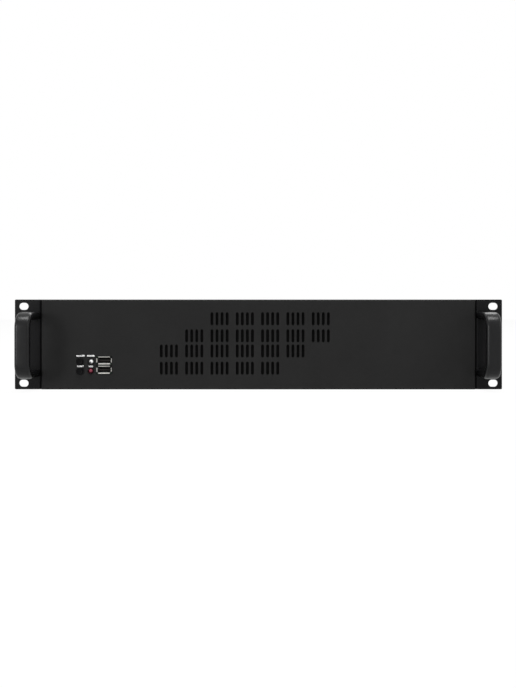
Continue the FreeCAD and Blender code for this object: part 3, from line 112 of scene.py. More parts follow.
class NodeSheet:
    """A node tree, with the calls that add nodes to it."""

    def __init__(self, tree: bpy.types.NodeTree) -> None:
        """Starts an empty tree of a material or of the world."""
        self.tree = tree
        self.tree.nodes.clear()

    def feed(self, socket: Socket, value: object) -> None:
        """Links an input to a signal or an output, or sets it to a plain value.

        Args:
            socket: the input.
            value: a signal, an output, a number, a vector or a colour.
        """
        if isinstance(value, Signal):
            value = value.socket
        if isinstance(value, Socket):
            self.tree.links.new(value, socket)
        else:
            socket.default_value = value

    def node(self, kind: str, inputs: Optional[dict] = None, **settings: object) -> bpy.types.Node:
        """Adds any node.

        Args:
            kind: the node's type.
            inputs: values or links by the socket's name or number.
            settings: its own settings, set first.

        Returns:
            The new node.
        """
        made = self.tree.nodes.new(kind)
        for key, value in settings.items():
            setattr(made, key, value)
        for key, value in (inputs or {}).items():
            self.feed(made.inputs[key], value)
        return made

    def place(self, stretch: Triple = (1.0, 1.0, 1.0)) -> Socket:
        """The point on the object in metres, stretched for a pattern that runs one way."""
        coordinates = self.node("ShaderNodeTexCoord").outputs["Object"]
        return self.node("ShaderNodeMapping", {"Vector": coordinates, "Scale": stretch}).outputs[0]

    def parts(self) -> tuple[Signal, ...]:
        """The three coordinates of the point on the object, each as a number."""
        made = self.node("ShaderNodeSeparateXYZ", {0: self.place()})
        return tuple(Signal(self, socket) for socket in made.outputs)

    def noise(self, size: float, detail: float = 2.0, roughness: float = 0.5,
              stretch: Triple = (1.0, 1.0, 1.0)) -> Signal:
        """Smooth noise from nought to one.

        Args:
            size: the width of one blotch in metres.
            detail: how many finer layers are added.
            roughness: how strong the finer layers are.
            stretch: the factor along each axis, for a pattern that runs one way.

        Returns:
            The noise.
        """
        made = self.node("ShaderNodeTexNoise", {
            "Vector": self.place(stretch), "Scale": 1.0 / size, "Detail": detail,
            "Roughness": roughness})
        return Signal(self, made.outputs[0])

    def wave(self, way: str, width: float) -> Signal:
        """Bands that follow each other along one axis, from nought to one as a sine.

        Args:
            way: the axis.
            width: the width of one band in metres.

        Returns:
            The bands.
        """
        made = self.node("ShaderNodeTexWave", {
            "Vector": self.place(), "Scale": WAVE_PERIOD / width, "Distortion": 0.0},
            bands_direction=way)
        return Signal(self, made.outputs["Fac"])

    def ramp(self, value: Value, low: float, high: float, start: float = 0.0,
             end: float = 1.0) -> Signal:
        """Carries a value from one range to another, and holds it at the ends.

        Args:
            value: the value to carry.
            low: the value that gives start.
            high: the value that gives end.
            start: the result at low.
            end: the result at high.

        Returns:
            The carried value.
        """
        made = self.node("ShaderNodeMapRange", {
            "Value": value, "From Min": low, "From Max": high, "To Min": start, "To Max": end})
        return Signal(self, made.outputs[0])

    def blend(self, factor: Value, first: Colour, second: Colour) -> Socket:
        """A colour between two colours, where the factor is the share of the second."""
        made = self.node("ShaderNodeMix", {0: factor, 6: (*first, 1), 7: (*second, 1)}, data_type="RGBA")
        return made.outputs[2]

    def background(self) -> Signal:
        """The share of white that a ray meets: one from the camera, a reflection or glass.

        Returns:
            One for those rays, and nothing for others.
        """
        path = self.node("ShaderNodeLightPath")
        seen, mirrored, through = (Signal(self, path.outputs[kind]) for kind in BACKGROUND_RAYS)
        return seen.most(mirrored).most(through)


class Surface(NodeSheet):
    """The node tree of one material: a Principled shader, its output and what feeds it."""

    def __init__(self, name: str) -> None:
        """Starts a material that holds a Principled shader alone.

        Args:
            name: the material's name.
        """
        self.material = bpy.data.materials.new(name)
        self.material.use_nodes = True
        super().__init__(self.material.node_tree)
        self.output = self.node("ShaderNodeOutputMaterial")
        self.shader = self.node("ShaderNodeBsdfPrincipled")
        self.feed(self.output.inputs["Surface"], self.shader.outputs[0])

    def bump(self, height: Signal, depth: float) -> None:
        """Feeds a height, one unit of which is a depth in metres, to the shader's normal."""
        made = self.node("ShaderNodeBump", {"Height": height, "Distance": depth})
        self.feed(self.shader.inputs["Normal"], made.outputs[0])

    def set(self, **values: object) -> None:
        """Sets or links the shader's sockets, named with underscores for spaces."""
        for key, value in values.items():
            self.feed(self.shader.inputs[key.replace("_", " ")], value)


def ink(red: int, green: int, blue: int) -> Colour:
    """A linear colour from a screen colour of nought to 255 each."""
    return tuple(((part / 255.0 + 0.055) / 1.055) ** 2.4 if part > 10 else part / 255.0 / 12.92
                 for part in (red, green, blue))


class Finish:
    """What a piece is made of, as a material that is made once."""

    name: str
    colour: Colour
    pale: Colour
    depth: float
    specular: float = 0.5
    made: dict = {}

    def dress(self, surface: Surface) -> None:
        """Adds the finish's own nodes."""
        raise NotImplementedError

    def lay(self, surface: Surface, tone: Signal, roughness: Signal, height: Signal,
            **more: Value) -> None:
        """Feeds what varies over the finish to the shader.

        Args:
            surface: the material's nodes.
            tone: the share of the pale colour.
            roughness: the roughness.
            height: the height of the finest relief.
            more: further sockets of the shader.
        """
        surface.set(Base_Color=surface.blend(tone, self.colour, self.pale), Roughness=roughness,
                    Specular_IOR_Level=self.specular, **more)
        surface.bump(height, self.depth)

    def material(self) -> bpy.types.Material:
        """The finish's material.

        Returns:
            The material, made on the first call and kept for the rest.
        """
        if self.name not in Finish.made:
            surface = Surface(self.name)
            self.dress(surface)
            Finish.made[self.name] = surface.material
        return Finish.made[self.name]


@dataclass(frozen=True)
class PowderCoat(Finish):
    """Baked powder paint: a fine orange-peel skin, faint cloudiness and a few dust specks."""

    name: str = "black_powder_coat"
    colour: Colour = ink(23, 23, 23)
    pale: Colour = ink(31, 31, 31)
    roughness: float = 0.6
    specular: float = 0.11
    peel: float = 0.0011
    grit_share: float = 0.3
    cloud: float = 0.09
    speck: float = 0.0016
    depth: float = 0.000035

    def dress(self, surface: Surface) -> None:
        """Adds the skin's grain, its clouds and its specks.

        Args:
            surface: the material's nodes.
        """
        peel = surface.noise(self.peel, roughness=0.45)
        grit = surface.noise(self.peel * self.grit_share, detail=1.0)
        clouds = surface.noise(self.cloud, detail=3.0, roughness=0.55)
        specks = surface.ramp(surface.noise(self.speck, detail=0.0), low=0.80, high=0.86, end=0.25)
        tone = surface.ramp(clouds, low=0.3, high=0.7, end=0.7) + 0.18 * grit
        self.lay(surface, tone.most(specks), self.roughness - 0.1 + 0.16 * clouds + 0.06 * peel,
                 peel + 0.25 * grit)


@dataclass(frozen=True)
class MouldedNylon(Finish):
    """Moulded black plastic with a fine eroded grain and rubbed, slightly shinier patches."""

    name: str = "moulded_black"
    colour: Colour = ink(16, 16, 17)
    pale: Colour = ink(24, 24, 25)
    roughness: float = 0.42
    specular: float = 0.45
    grain: float = 0.0006
    patch: float = 0.02
    depth: float = 0.00002

    def dress(self, surface: Surface) -> None:
        """Adds the mould's grain and the rubbed patches.

        Args:
            surface: the material's nodes.
        """
        grain = surface.noise(self.grain, roughness=0.6)
        rubbed = surface.noise(self.patch)
        self.lay(surface, grain * rubbed * 2.0, self.roughness - 0.08 + 0.2 * rubbed, grain)


@dataclass(frozen=True)
class HandleEnamel(Finish):
    """Glossy black enamel over a cast handle: a slow ripple and fine hand marks."""

    name: str = "handle_enamel"
    colour: Colour = ink(7, 7, 8)
    pale: Colour = ink(13, 13, 14)
    roughness: float = 0.3
    specular: float = 0.22
    coat: float = 0.03
    coat_roughness: float = 0.12
    ripple: float = 0.006
    mark: float = 0.0018
    stroke: Triple = (1.0, 1.0, 0.25)
    depth: float = 0.00003

    def dress(self, surface: Surface) -> None:
        """Adds the ripple and the marks.

        Args:
            surface: the material's nodes.
        """
        ripple = surface.noise(self.ripple, detail=1.0, roughness=0.4)
        marks = surface.noise(self.mark, detail=3.0, roughness=0.6, stretch=self.stroke)
        self.lay(surface, marks, self.roughness - 0.06 + 0.14 * marks, ripple + 0.1 * marks,
                 Coat_Weight=self.coat * ripple, Coat_Roughness=self.coat_roughness)


@dataclass(frozen=True)
class PlatedSteel(Finish):
    """Zinc-plated sheet or screws: bright blue-white metal, rolled streaks and pale spangle."""

    name: str = "zinc_plate"
    colour: Colour = ink(168, 171, 174)
    pale: Colour = ink(206, 208, 209)
    roughness: float = 0.34
    streak: Triple = (0.06, 1.0, 1.0)
    streak_width: float = 0.0007
    cells_per_metre: float = 220.0
    cloud: float = 0.03
    depth: float = 0.000012

    def dress(self, surface: Surface) -> None:
        """Adds the spangle and the rolling streaks.

        Args:
            surface: the material's nodes.
        """
        cells = surface.node("ShaderNodeTexVoronoi", {
            "Vector": surface.place(), "Scale": self.cells_per_metre})
        spangle = Signal(surface, cells.outputs["Distance"])
        streaks = surface.noise(self.streak_width, roughness=0.6, stretch=self.streak)
        clouds = surface.noise(self.cloud)
        self.lay(surface, 0.5 * spangle + 0.5 * clouds,
                 self.roughness - 0.08 + 0.14 * streaks + 0.08 * spangle, streaks,
                 Metallic=0.9 + 0.1 * clouds)


@dataclass(frozen=True)
class SocketNickel(Finish):
    """Nickel-plated socket shells, bright at the flared lips, with painted shade that makes them dark
    further in, where they are also duller.
    """

    name: str = "socket_nickel"
    colour: Colour = ink(178, 177, 172)
    # the painted shade colour deep in the shell, not the plating's own colour
    pale: Colour = ink(5, 5, 5)
    # depths over which the painted shade runs from the lips to full dark
    lip_end: float = -0.0046
    painted_shade_start: float = -0.0041
    roughness: float = 0.3
    metal: float = 0.4
    cloud: float = 0.0015
    depth: float = 0.000006

    def dress(self, surface: Surface) -> None:
        """Adds painted shade, darker by depth behind the panel's face, and the plating's clouds.

        Args:
            surface: the material's nodes.
        """
        _, depth, _ = surface.parts()
        # painted shade: nought at the lips, one deep in the shell, which also lowers the metal's shine
        painted_inner_shade = surface.ramp(depth, self.lip_end, self.painted_shade_start)
        clouds = surface.noise(self.cloud)
        self.lay(surface, painted_inner_shade.most(0.22 * clouds), self.roughness + 0.14 * clouds + 0.3 * painted_inner_shade,
                 clouds, Metallic=self.metal - 0.3 * painted_inner_shade)


@dataclass(frozen=True)
class BlackOxide(Finish):
    """Blackened steel screws: dark metal, a little brighter where a tool has rubbed them."""

    name: str = "black_oxide"
    colour: Colour = ink(20, 20, 21)
    pale: Colour = ink(48, 48, 50)
    roughness: float = 0.36
    metal: float = 0.55
    pit: float = 0.0004
    rub: float = 0.0022
    depth: float = 0.00001

    def dress(self, surface: Surface) -> None:
        """Adds fine pitting and rubbed spots.

        Args:
            surface: the material's nodes.
        """
        pitting = surface.noise(self.pit, roughness=0.6)
        rubbed = surface.ramp(surface.noise(self.rub), low=0.5, high=0.75)
        self.lay(surface, rubbed, self.roughness + 0.2 * pitting - 0.1 * rubbed, pitting,
                 Metallic=self.metal + 0.35 * rubbed)


@dataclass(frozen=True)
class TurnedBrass(Finish):
    """Turned brass: warm metal with rings from the lathe and darker, tarnished patches."""

    name: str = "turned_brass"
    colour: Colour = ink(214, 180, 104)
    pale: Colour = ink(150, 118, 62)
    roughness: float = 0.24
    ring: float = 0.0003
    turning: Triple = (0.02, 0.02, 1.0)
    tarnish: float = 0.004
    depth: float = 0.00001

    def dress(self, surface: Surface) -> None:
        """Adds the lathe's rings and the tarnish.

        Args:
            surface: the material's nodes.
        """
        rings = surface.noise(self.ring, detail=1.0, stretch=self.turning)
        tarnish = surface.noise(self.tarnish, detail=3.0, roughness=0.6)
        self.lay(surface, tarnish, self.roughness + 0.2 * rings, rings,
                 Metallic=0.92 + 0.08 * tarnish)


@dataclass(frozen=True)
class LampResin(Finish):
    """Cast lamp resin with the view through it painted on: a painted bright cup in the middle, its post
    beside it, and a painted dark rim.

    The rim is painted dark for the black panel that the resin would bend into view, and the colour is
    also given off as a faint painted emission though the lamp is off.
    """

    name: str = "clear_lamp_resin"
    cup: Colour = ink(228, 228, 228)
    # painted dark rim colour, for the black panel seen through the resin
    rim: Colour = ink(36, 36, 37)
    centre: Pair = (-0.16445, -0.0161)
    cup_radius: float = 0.0010
    painted_rim_radius: float = 0.0022
    post: Pair = (-0.0010, -0.0009)
    post_radius: float = 0.0010
    post_shade: float = 0.97
    # strength of a painted emission: the lamp is off
    painted_glow: float = 0.15
    specular: float = 0.06
    index: float = 1.52
    cloud: float = 0.0012
    depth: float = 0.00002

    def dress(self, surface: Surface) -> None:
        """Adds the painted dark rim and the painted post, by distance from the lamp's middle, the pour's
        cloud and a faint painted emission.

        Args:
            surface: the material's nodes.
        """
        across, _, up = surface.parts()
        x, z = self.centre
        away = self.distance(across - x, up - z)
        beside = self.distance(across - (x + self.post[0]), up - (z + self.post[1]))
        cloud = surface.noise(self.cloud)
        # painted shade: darker away from the lamp's middle, which makes the dark rim
        dark = surface.ramp(away, self.cup_radius, self.painted_rim_radius)
        post = surface.ramp(beside, low=self.post_radius * 0.5, high=self.post_radius * 1.4,
                            start=self.post_shade, end=0.0)
        # painted refraction: the bright cup and the post in the middle, the dark rim round them
        shade = surface.blend(dark.most(post).most(0.12 * cloud), self.cup, self.rim)
        # the painted colour is also given off as faint light, though the lamp is off
        surface.set(Base_Color=shade, Roughness=0.08 + 0.1 * cloud, Emission_Color=shade,
                    Emission_Strength=self.painted_glow, IOR=self.index, Specular_IOR_Level=self.specular)
        surface.bump(cloud, self.depth)

    @staticmethod
    def distance(first: Signal, second: Signal) -> Signal:
        """The root of the sum of two squares."""
        return (first * first + second * second) ** 0.5


@dataclass(frozen=True)
class BoardLacquer(Finish):
    """Green solder lacquer over copper tracks that run in straight lanes."""

    name: str = "board_lacquer"
    colour: Colour = ink(14, 62, 38)
    pale: Colour = ink(30, 98, 58)
    lane: float = 0.0013
    lane_edge: float = 0.62
    gap: float = 0.004
    gap_stretch: Triple = (0.3, 1.0, 1.6)
    roughness: float = 0.34
    coat: float = 0.3
    depth: float = 0.00003

    def dress(self, surface: Surface) -> None:
        """Adds lanes of track, broken up so that they start and stop.

        Args:
            surface: the material's nodes.
        """
        lanes = surface.wave("Z", self.lane).above(self.lane_edge)
        broken = surface.noise(self.gap, detail=0.0, stretch=self.gap_stretch).above(0.5)
        track = lanes * broken
        self.lay(surface, track, self.roughness - 0.08 * track, track,
                 Coat_Weight=self.coat + 0.1 * track)


@dataclass(frozen=True)
class WovenFilter(Finish):
    """A black woven dust filter: fine threads one way and the other, with dark holes between."""

    name: str = "woven_filter"
    colour: Colour = ink(2, 2, 2)
    pale: Colour = ink(12, 12, 12)
    roughness: float = 0.8
    specular: float = 0.02
    thread: float = 0.0005
    depth: float = 0.0001

    def dress(self, surface: Surface) -> None:
        """Adds the threads: waves along X and along Z, of which the higher one shows."""
        weave = surface.wave("X", self.thread).most(surface.wave("Z", self.thread))
        self.lay(surface, weave, self.roughness + 0.1 * weave, weave)


@dataclass(frozen=True)
class ScreenInk(Finish):
    """White screen-printed ink, slightly thin and grey where the mesh left less."""

    name: str = "screen_ink"
    colour: Colour = ink(226, 226, 226)
    pale: Colour = ink(248, 248, 248)
    roughness: float = 0.45
    mesh: float = 0.0003

    def dress(self, surface: Surface) -> None:
        """Adds the screen's fine unevenness.

        Args:
            surface: the material's nodes.
        """
        mesh = surface.noise(self.mesh, detail=1.0)
        surface.set(Base_Color=surface.blend(mesh, self.colour, self.pale),
                    Roughness=self.roughness + 0.2 * mesh)


class Paint(Enum):
    """The finishes of the case, by what they cover."""

    PANEL = PowderCoat()
    SHEET = PowderCoat(name="case_powder_coat", colour=ink(11, 11, 12), pale=ink(18, 18, 19),
                       roughness=0.36, specular=0.1)
    FILTER = WovenFilter()
    HANDLE = HandleEnamel()
    SCREW = BlackOxide()
    ZINC = PlatedSteel()
    ZINC_SCREW = PlatedSteel(name="zinc_screw", colour=ink(150, 152, 156), roughness=0.3,
                             streak=(1.0, 1.0, 1.0))
    BRASS = TurnedBrass()
    FAN = MouldedNylon(name="fan_plastic")
    ROTOR = MouldedNylon(name="rotor_plastic", colour=ink(13, 13, 14), roughness=0.34)
    BUTTON = MouldedNylon(name="button_black", colour=ink(5, 5, 6), pale=ink(10, 10, 11),
                          roughness=0.3, specular=0.06)
    SWITCH = MouldedNylon(name="switch_body", colour=ink(30, 30, 32), pale=ink(42, 42, 44))
    CLEAR = LampResin()
    # the red lamp's painted dark rim, painted post and faint painted emission
    RED = LampResin(name="red_lamp_resin", cup=ink(130, 62, 76), rim=ink(46, 3, 9),
                    centre=(-0.1651, -0.0252), cup_radius=0.0006, painted_rim_radius=0.0020,
                    post_shade=0.3, painted_glow=0.06)
    NICKEL = SocketNickel()
    TONGUE = MouldedNylon(name="socket_black", colour=ink(26, 25, 24), pale=ink(40, 38, 36),
                          specular=0.05)
    GOLD = TurnedBrass(name="contact_gold", colour=ink(62, 56, 46), pale=ink(40, 36, 30))
    BOARD = BoardLacquer()
    INK = ScreenInk()


def unit(vectors: Array) -> Array:
    """Vectors of length one: each vector divided by its own length."""
    return vectors / np.linalg.norm(vectors, axis=-1, keepdims=True)


def rounded_outline(width: float, height: float, radius: float, steps: int) -> Array:
    """A rectangle with round corners, anticlockwise.

    Each corner is its centre plus radius times (cos t, sin t) over its own quarter turn.

    Args:
        width: the full width.
        height: the full height.
        radius: the corners' radius.
        steps: the points along each corner's arc.

    Returns:
        The outline's points, shaped (4 x steps, 2).
    """
    quarter = np.arange(4)[:, None]
    turn = quarter * math.pi / 2 + np.linspace(0.0, math.pi / 2, steps)[None, :]
    signs = np.array([[1, 1], [-1, 1], [-1, -1], [1, -1]])
    centres = signs * np.array([width / 2 - radius, height / 2 - radius])
    arcs = np.stack([np.cos(turn), np.sin(turn)], axis=-1) * radius
    return (centres[:, None, :] + arcs).reshape(-1, 2)


def circle(radius: float, steps: int, phase: float = 0.0) -> Array:
    """A closed ring: radius times (cos t, sin t) for t round one turn from a phase."""
    turn = phase + np.arange(steps) * 2 * math.pi / steps
    return radius * np.stack([np.cos(turn), np.sin(turn)], axis=-1)


def carried(outlines: Array, centres: Array, across: Array, up: Array) -> Array:
    """Outlines set along a path: point (i, j) is centre i + u across i + v up i.

    Args:
        outlines: one outline for all stations, or one for each, with (u, v) last.
        centres: the path's points, shaped (stations, 3).
        across: the direction of u at each station, or one for all.
        up: the direction of v at each station, or one for all.

    Returns:
        A grid of points, shaped (stations, outline points, 3).
    """
    stations = len(centres)
    shape = np.broadcast_to(outlines, (stations, *outlines.shape[-2:]))
    side = np.broadcast_to(across, (stations, 3))[:, None, :]
    rise = np.broadcast_to(up, (stations, 3))[:, None, :]
    return centres[:, None, :] + shape[..., :1] * side + shape[..., 1:] * rise


def turned(profile: Array, centre: Array, axis: Array, side: Array, steps: int) -> Array:
    """A turned form: each profile point (radius, along) goes round the axis.

    Args:
        profile: radius and distance along the axis, shaped (n, 2).
        centre: where the axis starts.
        axis: the unit direction of the axis.
        side: a unit direction square to the axis.
        steps: the points round one turn.

    Returns:
        A grid of points, shaped (n, steps, 3).
    """
    rings = circle(1.0, steps)[None] * profile[:, :1, None]
    centres = centre + profile[:, 1:] * axis
    return carried(rings, centres, side, np.cross(axis, side))


def softened(corners: list[Triple], steps: int = 4) -> Array:
    """A profile whose corners (radius, along, rounding) are each rounded by an arc.

    An arc is drawn as a curve of second degree from a point before the corner to one after it.

    Args:
        corners: the profile's corners, each with the length that its rounding takes.
        steps: the points on each rounding.

    Returns:
        The profile's points, shaped (n, 2).
    """
    points = [np.array(corners[0][:2])[None]]
    blend = np.linspace(0.0, 1.0, steps)[:, None]
    for before, here, after in zip(corners, corners[1:], corners[2:]):
        corner = np.array(here[:2])
        start = corner + unit(np.array(before[:2]) - corner) * here[2]
        end = corner + unit(np.array(after[:2]) - corner) * here[2]
        points.append((1 - blend) ** 2 * start + 2 * blend * (1 - blend) * corner + blend ** 2 * end)
    points.append(np.array(corners[-1][:2])[None])
    return np.concatenate(points)


class Form:
    """A mesh gathered from grids of points, in millimetres until it is made."""

    def __init__(self) -> None:
        """Starts with no points."""
        self.points: list[Array] = []
        self.quads: list[Array] = []
        self.count = 0

    def grid(self, points: Array, loop: bool = False) -> "Form":
        """Adds a grid of points as quads, whose last column joins the first.

        Args:
            points: the grid, shaped (rows, columns, 3).
            loop: whether the last row joins the first too.

        Returns:
            This form.
        """
        rows, columns = points.shape[:2]
        index = np.arange(rows * columns).reshape(rows, columns) + self.count
        below = np.roll(index, -1, axis=0)
        corners = [index, np.roll(index, -1, axis=1), np.roll(below, -1, axis=1), below]
        kept = [part[:None if loop else -1].ravel() for part in corners]
        self.points.append(points.reshape(-1, 3))
        self.quads.append(np.stack(kept, axis=-1))
        self.count += rows * columns
        return self

    def closed(self, points: Array) -> "Form":
        """Adds a grid of rings whose two ends are drawn together to their middles.

        Args:
            points: the rings, shaped (rings, points, 3).

        Returns:
            This form.
        """
        first = np.broadcast_to(points[0].mean(axis=0), points[0].shape)
        last = np.broadcast_to(points[-1].mean(axis=0), points[-1].shape)
        return self.grid(np.concatenate([first[None], points, last[None]]))

    def make(self, name: str, paint: Paint, body: str, slot: str, replaces: tuple = (),
             sharp: float = 38.0) -> bpy.types.Object:
        """Makes the object, merges its seams, turns its faces outwards and puts it on a body.

        Args:
            name: the object's name.
            paint: its finish.
            body: the CAD body that it rides on.
            slot: the record's material slot that it belongs to; not used.
            replaces: the CAD nodes that it stands for.
            sharp: the angle in degrees past which an edge stays crisp.

        Returns:
            The object.
        """
        points = np.concatenate(self.points) * MM
        mesh = bpy.data.meshes.new(name)
        mesh.from_pydata(points.tolist(), [], np.concatenate(self.quads).tolist())
        tidy(mesh, sharp)
        return settle(name, mesh, paint, body, replaces)


def span(mesh: bpy.types.Mesh) -> tuple[Array, Array]:
    """The lowest and the highest coordinates of a mesh's points."""
    points = np.array([point.co for point in mesh.vertices])
    return points.min(axis=0), points.max(axis=0)


def tidy(mesh: bpy.types.Mesh, sharp: float) -> None:
    """Merges doubled points, turns faces outwards and keeps edges past an angle crisp.

    Args:
        mesh: the mesh to work on.
        sharp: the angle in degrees.
    """
    work = bmesh.new()
    work.from_mesh(mesh)
    bmesh.ops.remove_doubles(work, verts=work.verts, dist=MERGE_DISTANCE)
    bmesh.ops.dissolve_degenerate(work, edges=work.edges, dist=LEAST_EDGE)
    bmesh.ops.recalc_face_normals(work, faces=work.faces)
    for face in work.faces:
        face.smooth = True
    for edge in work.edges:
        edge.smooth = edge.calc_face_angle(0.0) < math.radians(sharp)
    work.to_mesh(mesh)
    work.free()


def linked(name: str, data: bpy.types.ID) -> bpy.types.Object:
    """Makes an object and links it to the scene.

    Args:
        name: the object's name.
        data: its mesh, light or camera.

    Returns:
        The object.
    """
    made = bpy.data.objects.new(name, data)
    bpy.context.scene.collection.objects.link(made)
    return made


def settle(name: str, mesh: bpy.types.Mesh, paint: Paint, body: str,
           replaces: tuple = ()) -> bpy.types.Object:
    """Makes a piece, paints it, puts it on its body and hides the CAD nodes that it stands for.

    Args:
        name: the piece's name.
        mesh: its mesh.
        paint: its finish.
        body: the CAD body that it rides on.
        replaces: the CAD nodes that it stands for.

    Returns:
        The piece.
    """
    mesh.materials.clear()
    mesh.materials.append(paint.value.material())
    piece = linked(name, mesh)
    if replaces:
        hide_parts(*replaces)
    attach(piece, body)
    LOG.info("%s rides on %s in %s", piece.name, body, paint.value.name)
    return piece


def coat(paint: Paint, *nodes: str) -> None:
    """Gives CAD nodes a finish by their material slots.

    Args:
        paint: the finish.
        nodes: the nodes' names.
    """
    for name in nodes:
        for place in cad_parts[name].material_slots:
            place.material = paint.value.material()
        LOG.info("%s is finished in %s", name, paint.value.name)


@dataclass
class BowHandles:
    """The two cast handles, each a rounded band that leaves its ear, crosses and comes back."""

    foot_y: float = -2.0
    height: float = 64.2
    reach: float = 40.0
    width: float = 14.6
    thickness: float = 7.4
    edge: float = 3.2
    corner: float = 15.0
    corner_steps: int = 14
    edge_steps: int = 8
    run_steps: int = 6

    def path(self) -> tuple[Array, Array]:
        """The band's middle line and the direction square to it, in the plane of the handle.

        It is a straight leg, a quarter circle, a straight bar, a quarter circle and a leg. On a
        quarter circle a point is the centre plus the bend times (cos t, sin t).

        Returns:
            The points and the outward directions, each shaped (n, 2) as depth and height.
        """
        half = (self.height - self.thickness) / 2
        bend = self.corner - self.thickness / 2
        front = self.foot_y - self.reach + self.thickness / 2
        leg = np.linspace(self.foot_y, front + bend, self.run_steps)
        leg_out = np.tile([0.0, 1.0], (self.run_steps, 1))
        top_leg = np.stack([leg, np.full(self.run_steps, half)], axis=-1)
        turn = np.linspace(math.pi / 2, math.pi, self.corner_steps)
        arc_out = np.stack([np.cos(turn), np.sin(turn)], axis=-1)
        arc = np.array([front + bend, half - bend]) + bend * arc_out
        bar = np.linspace(half - bend, bend - half, 2 * self.run_steps)[1:-1]
        bar_points = np.stack([np.full(len(bar), front), bar], axis=-1)
        flip = np.array([1.0, -1.0])
        points = np.concatenate([top_leg[:-1], arc, bar_points, arc[::-1] * flip,
                                 top_leg[-2::-1] * flip])
        outward = np.concatenate([leg_out[:-1], arc_out, np.tile([-1.0, 0.0], (len(bar), 1)),
                                  arc_out[::-1] * flip, leg_out[-2::-1] * flip])
        return points, outward

    def build(self) -> None:
        """Makes both handles in place of their CAD nodes."""
        points, outward = self.path()
        section = rounded_outline(self.width, self.thickness, self.edge, self.edge_steps)
        for side, name in ((1, "right"), (-1, "left")):
            centres = np.stack([np.full(len(points), side * HANDLE_X), points[:, 0],
                                points[:, 1] + MIDDLE], axis=-1)
            up = np.stack([np.zeros(len(points)), outward[:, 0], outward[:, 1]], axis=-1)
            rings = carried(section, centres, ACROSS, up)
            Form().closed(rings).make(name + "_bow_handle", Paint.HANDLE, "case", "handle_black",
                                      (name + "_handle",))


@dataclass
class CrossScrew:
    """A screw with a cross recess in a domed or countersunk head.

    The recess is a share of the head deep, and is drawn as three crosses from its floor upwards.
    """

    radius: float
    length: float
    head_radius: float
    head_height: float
    sunk: bool = False
    recess: float = 0.55
    shoulder: float = 0.7
    arm: float = 0.52
    slit: float = 0.16
    crosses: Triple = (0.45, 0.86, 1.0)
    lip: float = 0.02
    rim: float = 0.12
    dome_start: float = 0.45
    dome_drop: float = 0.65
    dome_rings: int = 6
    steps: int = 16

    def cross(self, scale: float) -> Array:
        """The recess's outline: a plus sign of sixteen points, scaled about its middle.

        Args:
            scale: the scale.

        Returns:
            The outline, shaped (16, 2).
        """
        long, short = self.head_radius * self.arm * scale, self.head_radius * self.slit * scale
        quarter = np.array([[long, 0.0], [long, short], [short, short], [short, long]])
        turns = [np.array([[math.cos(t), -math.sin(t)], [math.sin(t), math.cos(t)]])
                 for t in np.arange(4) * math.pi / 2]
        return np.concatenate([quarter @ turn.T for turn in turns])

    def rings(self, seat: Array, axis: Array, side: Array) -> Array:
        """The screw's rings from the floor of its recess over the head to the shank's end.

        A domed head falls off as a quarter of an ellipse. A sunk head is a cone below its face.

        Args:
            seat: the middle of the face that the head sits on, or of the sunk head's face.
            axis: the direction in which the shank runs.
            side: a direction square to it.

        Returns:
            A grid of points, shaped (rings, 16, 3).
        """
        top = 0.0 if self.sunk else -self.head_height
        deep = self.recess * self.head_height
        outlines = [self.cross(scale) for scale in self.crosses]
        levels = [top + deep, top + self.shoulder * deep, top + self.lip]
        if self.sunk:
            rest = [(self.head_radius, self.lip), (self.head_radius, self.rim),
                    (self.radius, self.head_height)]
        else:
            rest = [(self.head_radius * math.sin(turn),
                     top * (1 - self.dome_drop + self.dome_drop * math.cos(turn)))
                    for turn in np.linspace(self.dome_start, math.pi / 2, self.dome_rings)]
            rest += [(self.head_radius, 0.0), (self.radius, 0.0)]
        for radius, level in (*rest, (self.radius, self.length)):
            outlines.append(circle(radius, self.steps))
            levels.append(level)
        centres = seat + np.array(levels)[:, None] * axis
        return carried(np.stack(outlines), centres, side, np.cross(axis, side))


@dataclass
class EarFastening:
    """The screws that hold the ears to the case's sides, and those behind the handles."""

    half_width: float = 215.0
    ear_sheet: float = 2.0
    depths: Pair = (20.0, 36.0)
    span: float = 56.0
    handle_span: float = 56.8
    twist: Pair = (0.4, 0.9)
    sway: Pair = (0.7, 0.5)
    side_screw: CrossScrew = field(default_factory=lambda: CrossScrew(1.9, 5.8, 3.65, 2.25))
    rear_screw: CrossScrew = field(default_factory=lambda: CrossScrew(
        1.9, 12.0, 3.7, 1.8, sunk=True))

    def build(self) -> None:
        """Makes both sets in place of their CAD nodes."""
        sides, rears = Form(), Form()
        for side in (-1, 1):
            for end in (-1, 1):
                for depth in self.depths:
                    seat = np.array([side * (self.half_width + self.ear_sheet), depth,
                                     MIDDLE + end * self.span / 2])
                    sides.closed(self.side_screw.rings(seat, ACROSS * -side, self.tilt(seat)))
                seat = np.array([side * HANDLE_X, 0.0, MIDDLE + end * self.handle_span / 2])
                spin = self.twist[0] * side + self.twist[1] * end
                rears.closed(self.rear_screw.rings(
                    seat, -BACK, ACROSS * math.cos(spin) + UP * math.sin(spin)))
        sides.make("ear_side_screws", Paint.SCREW, "case", "screw_black", ("ear_screws",))
        rears.make("handle_rear_screws", Paint.SCREW, "case", "screw_black", ("handle_screws",))

    def tilt(self, seat: Array) -> Array:
        """A turn of the recess that differs from screw to screw, from the screw's own place."""
        turn = self.sway[0] * math.sin(seat[1]) + self.sway[1] * math.sin(seat[2] + seat[0])
        return UP * math.cos(turn) + BACK * math.sin(turn)


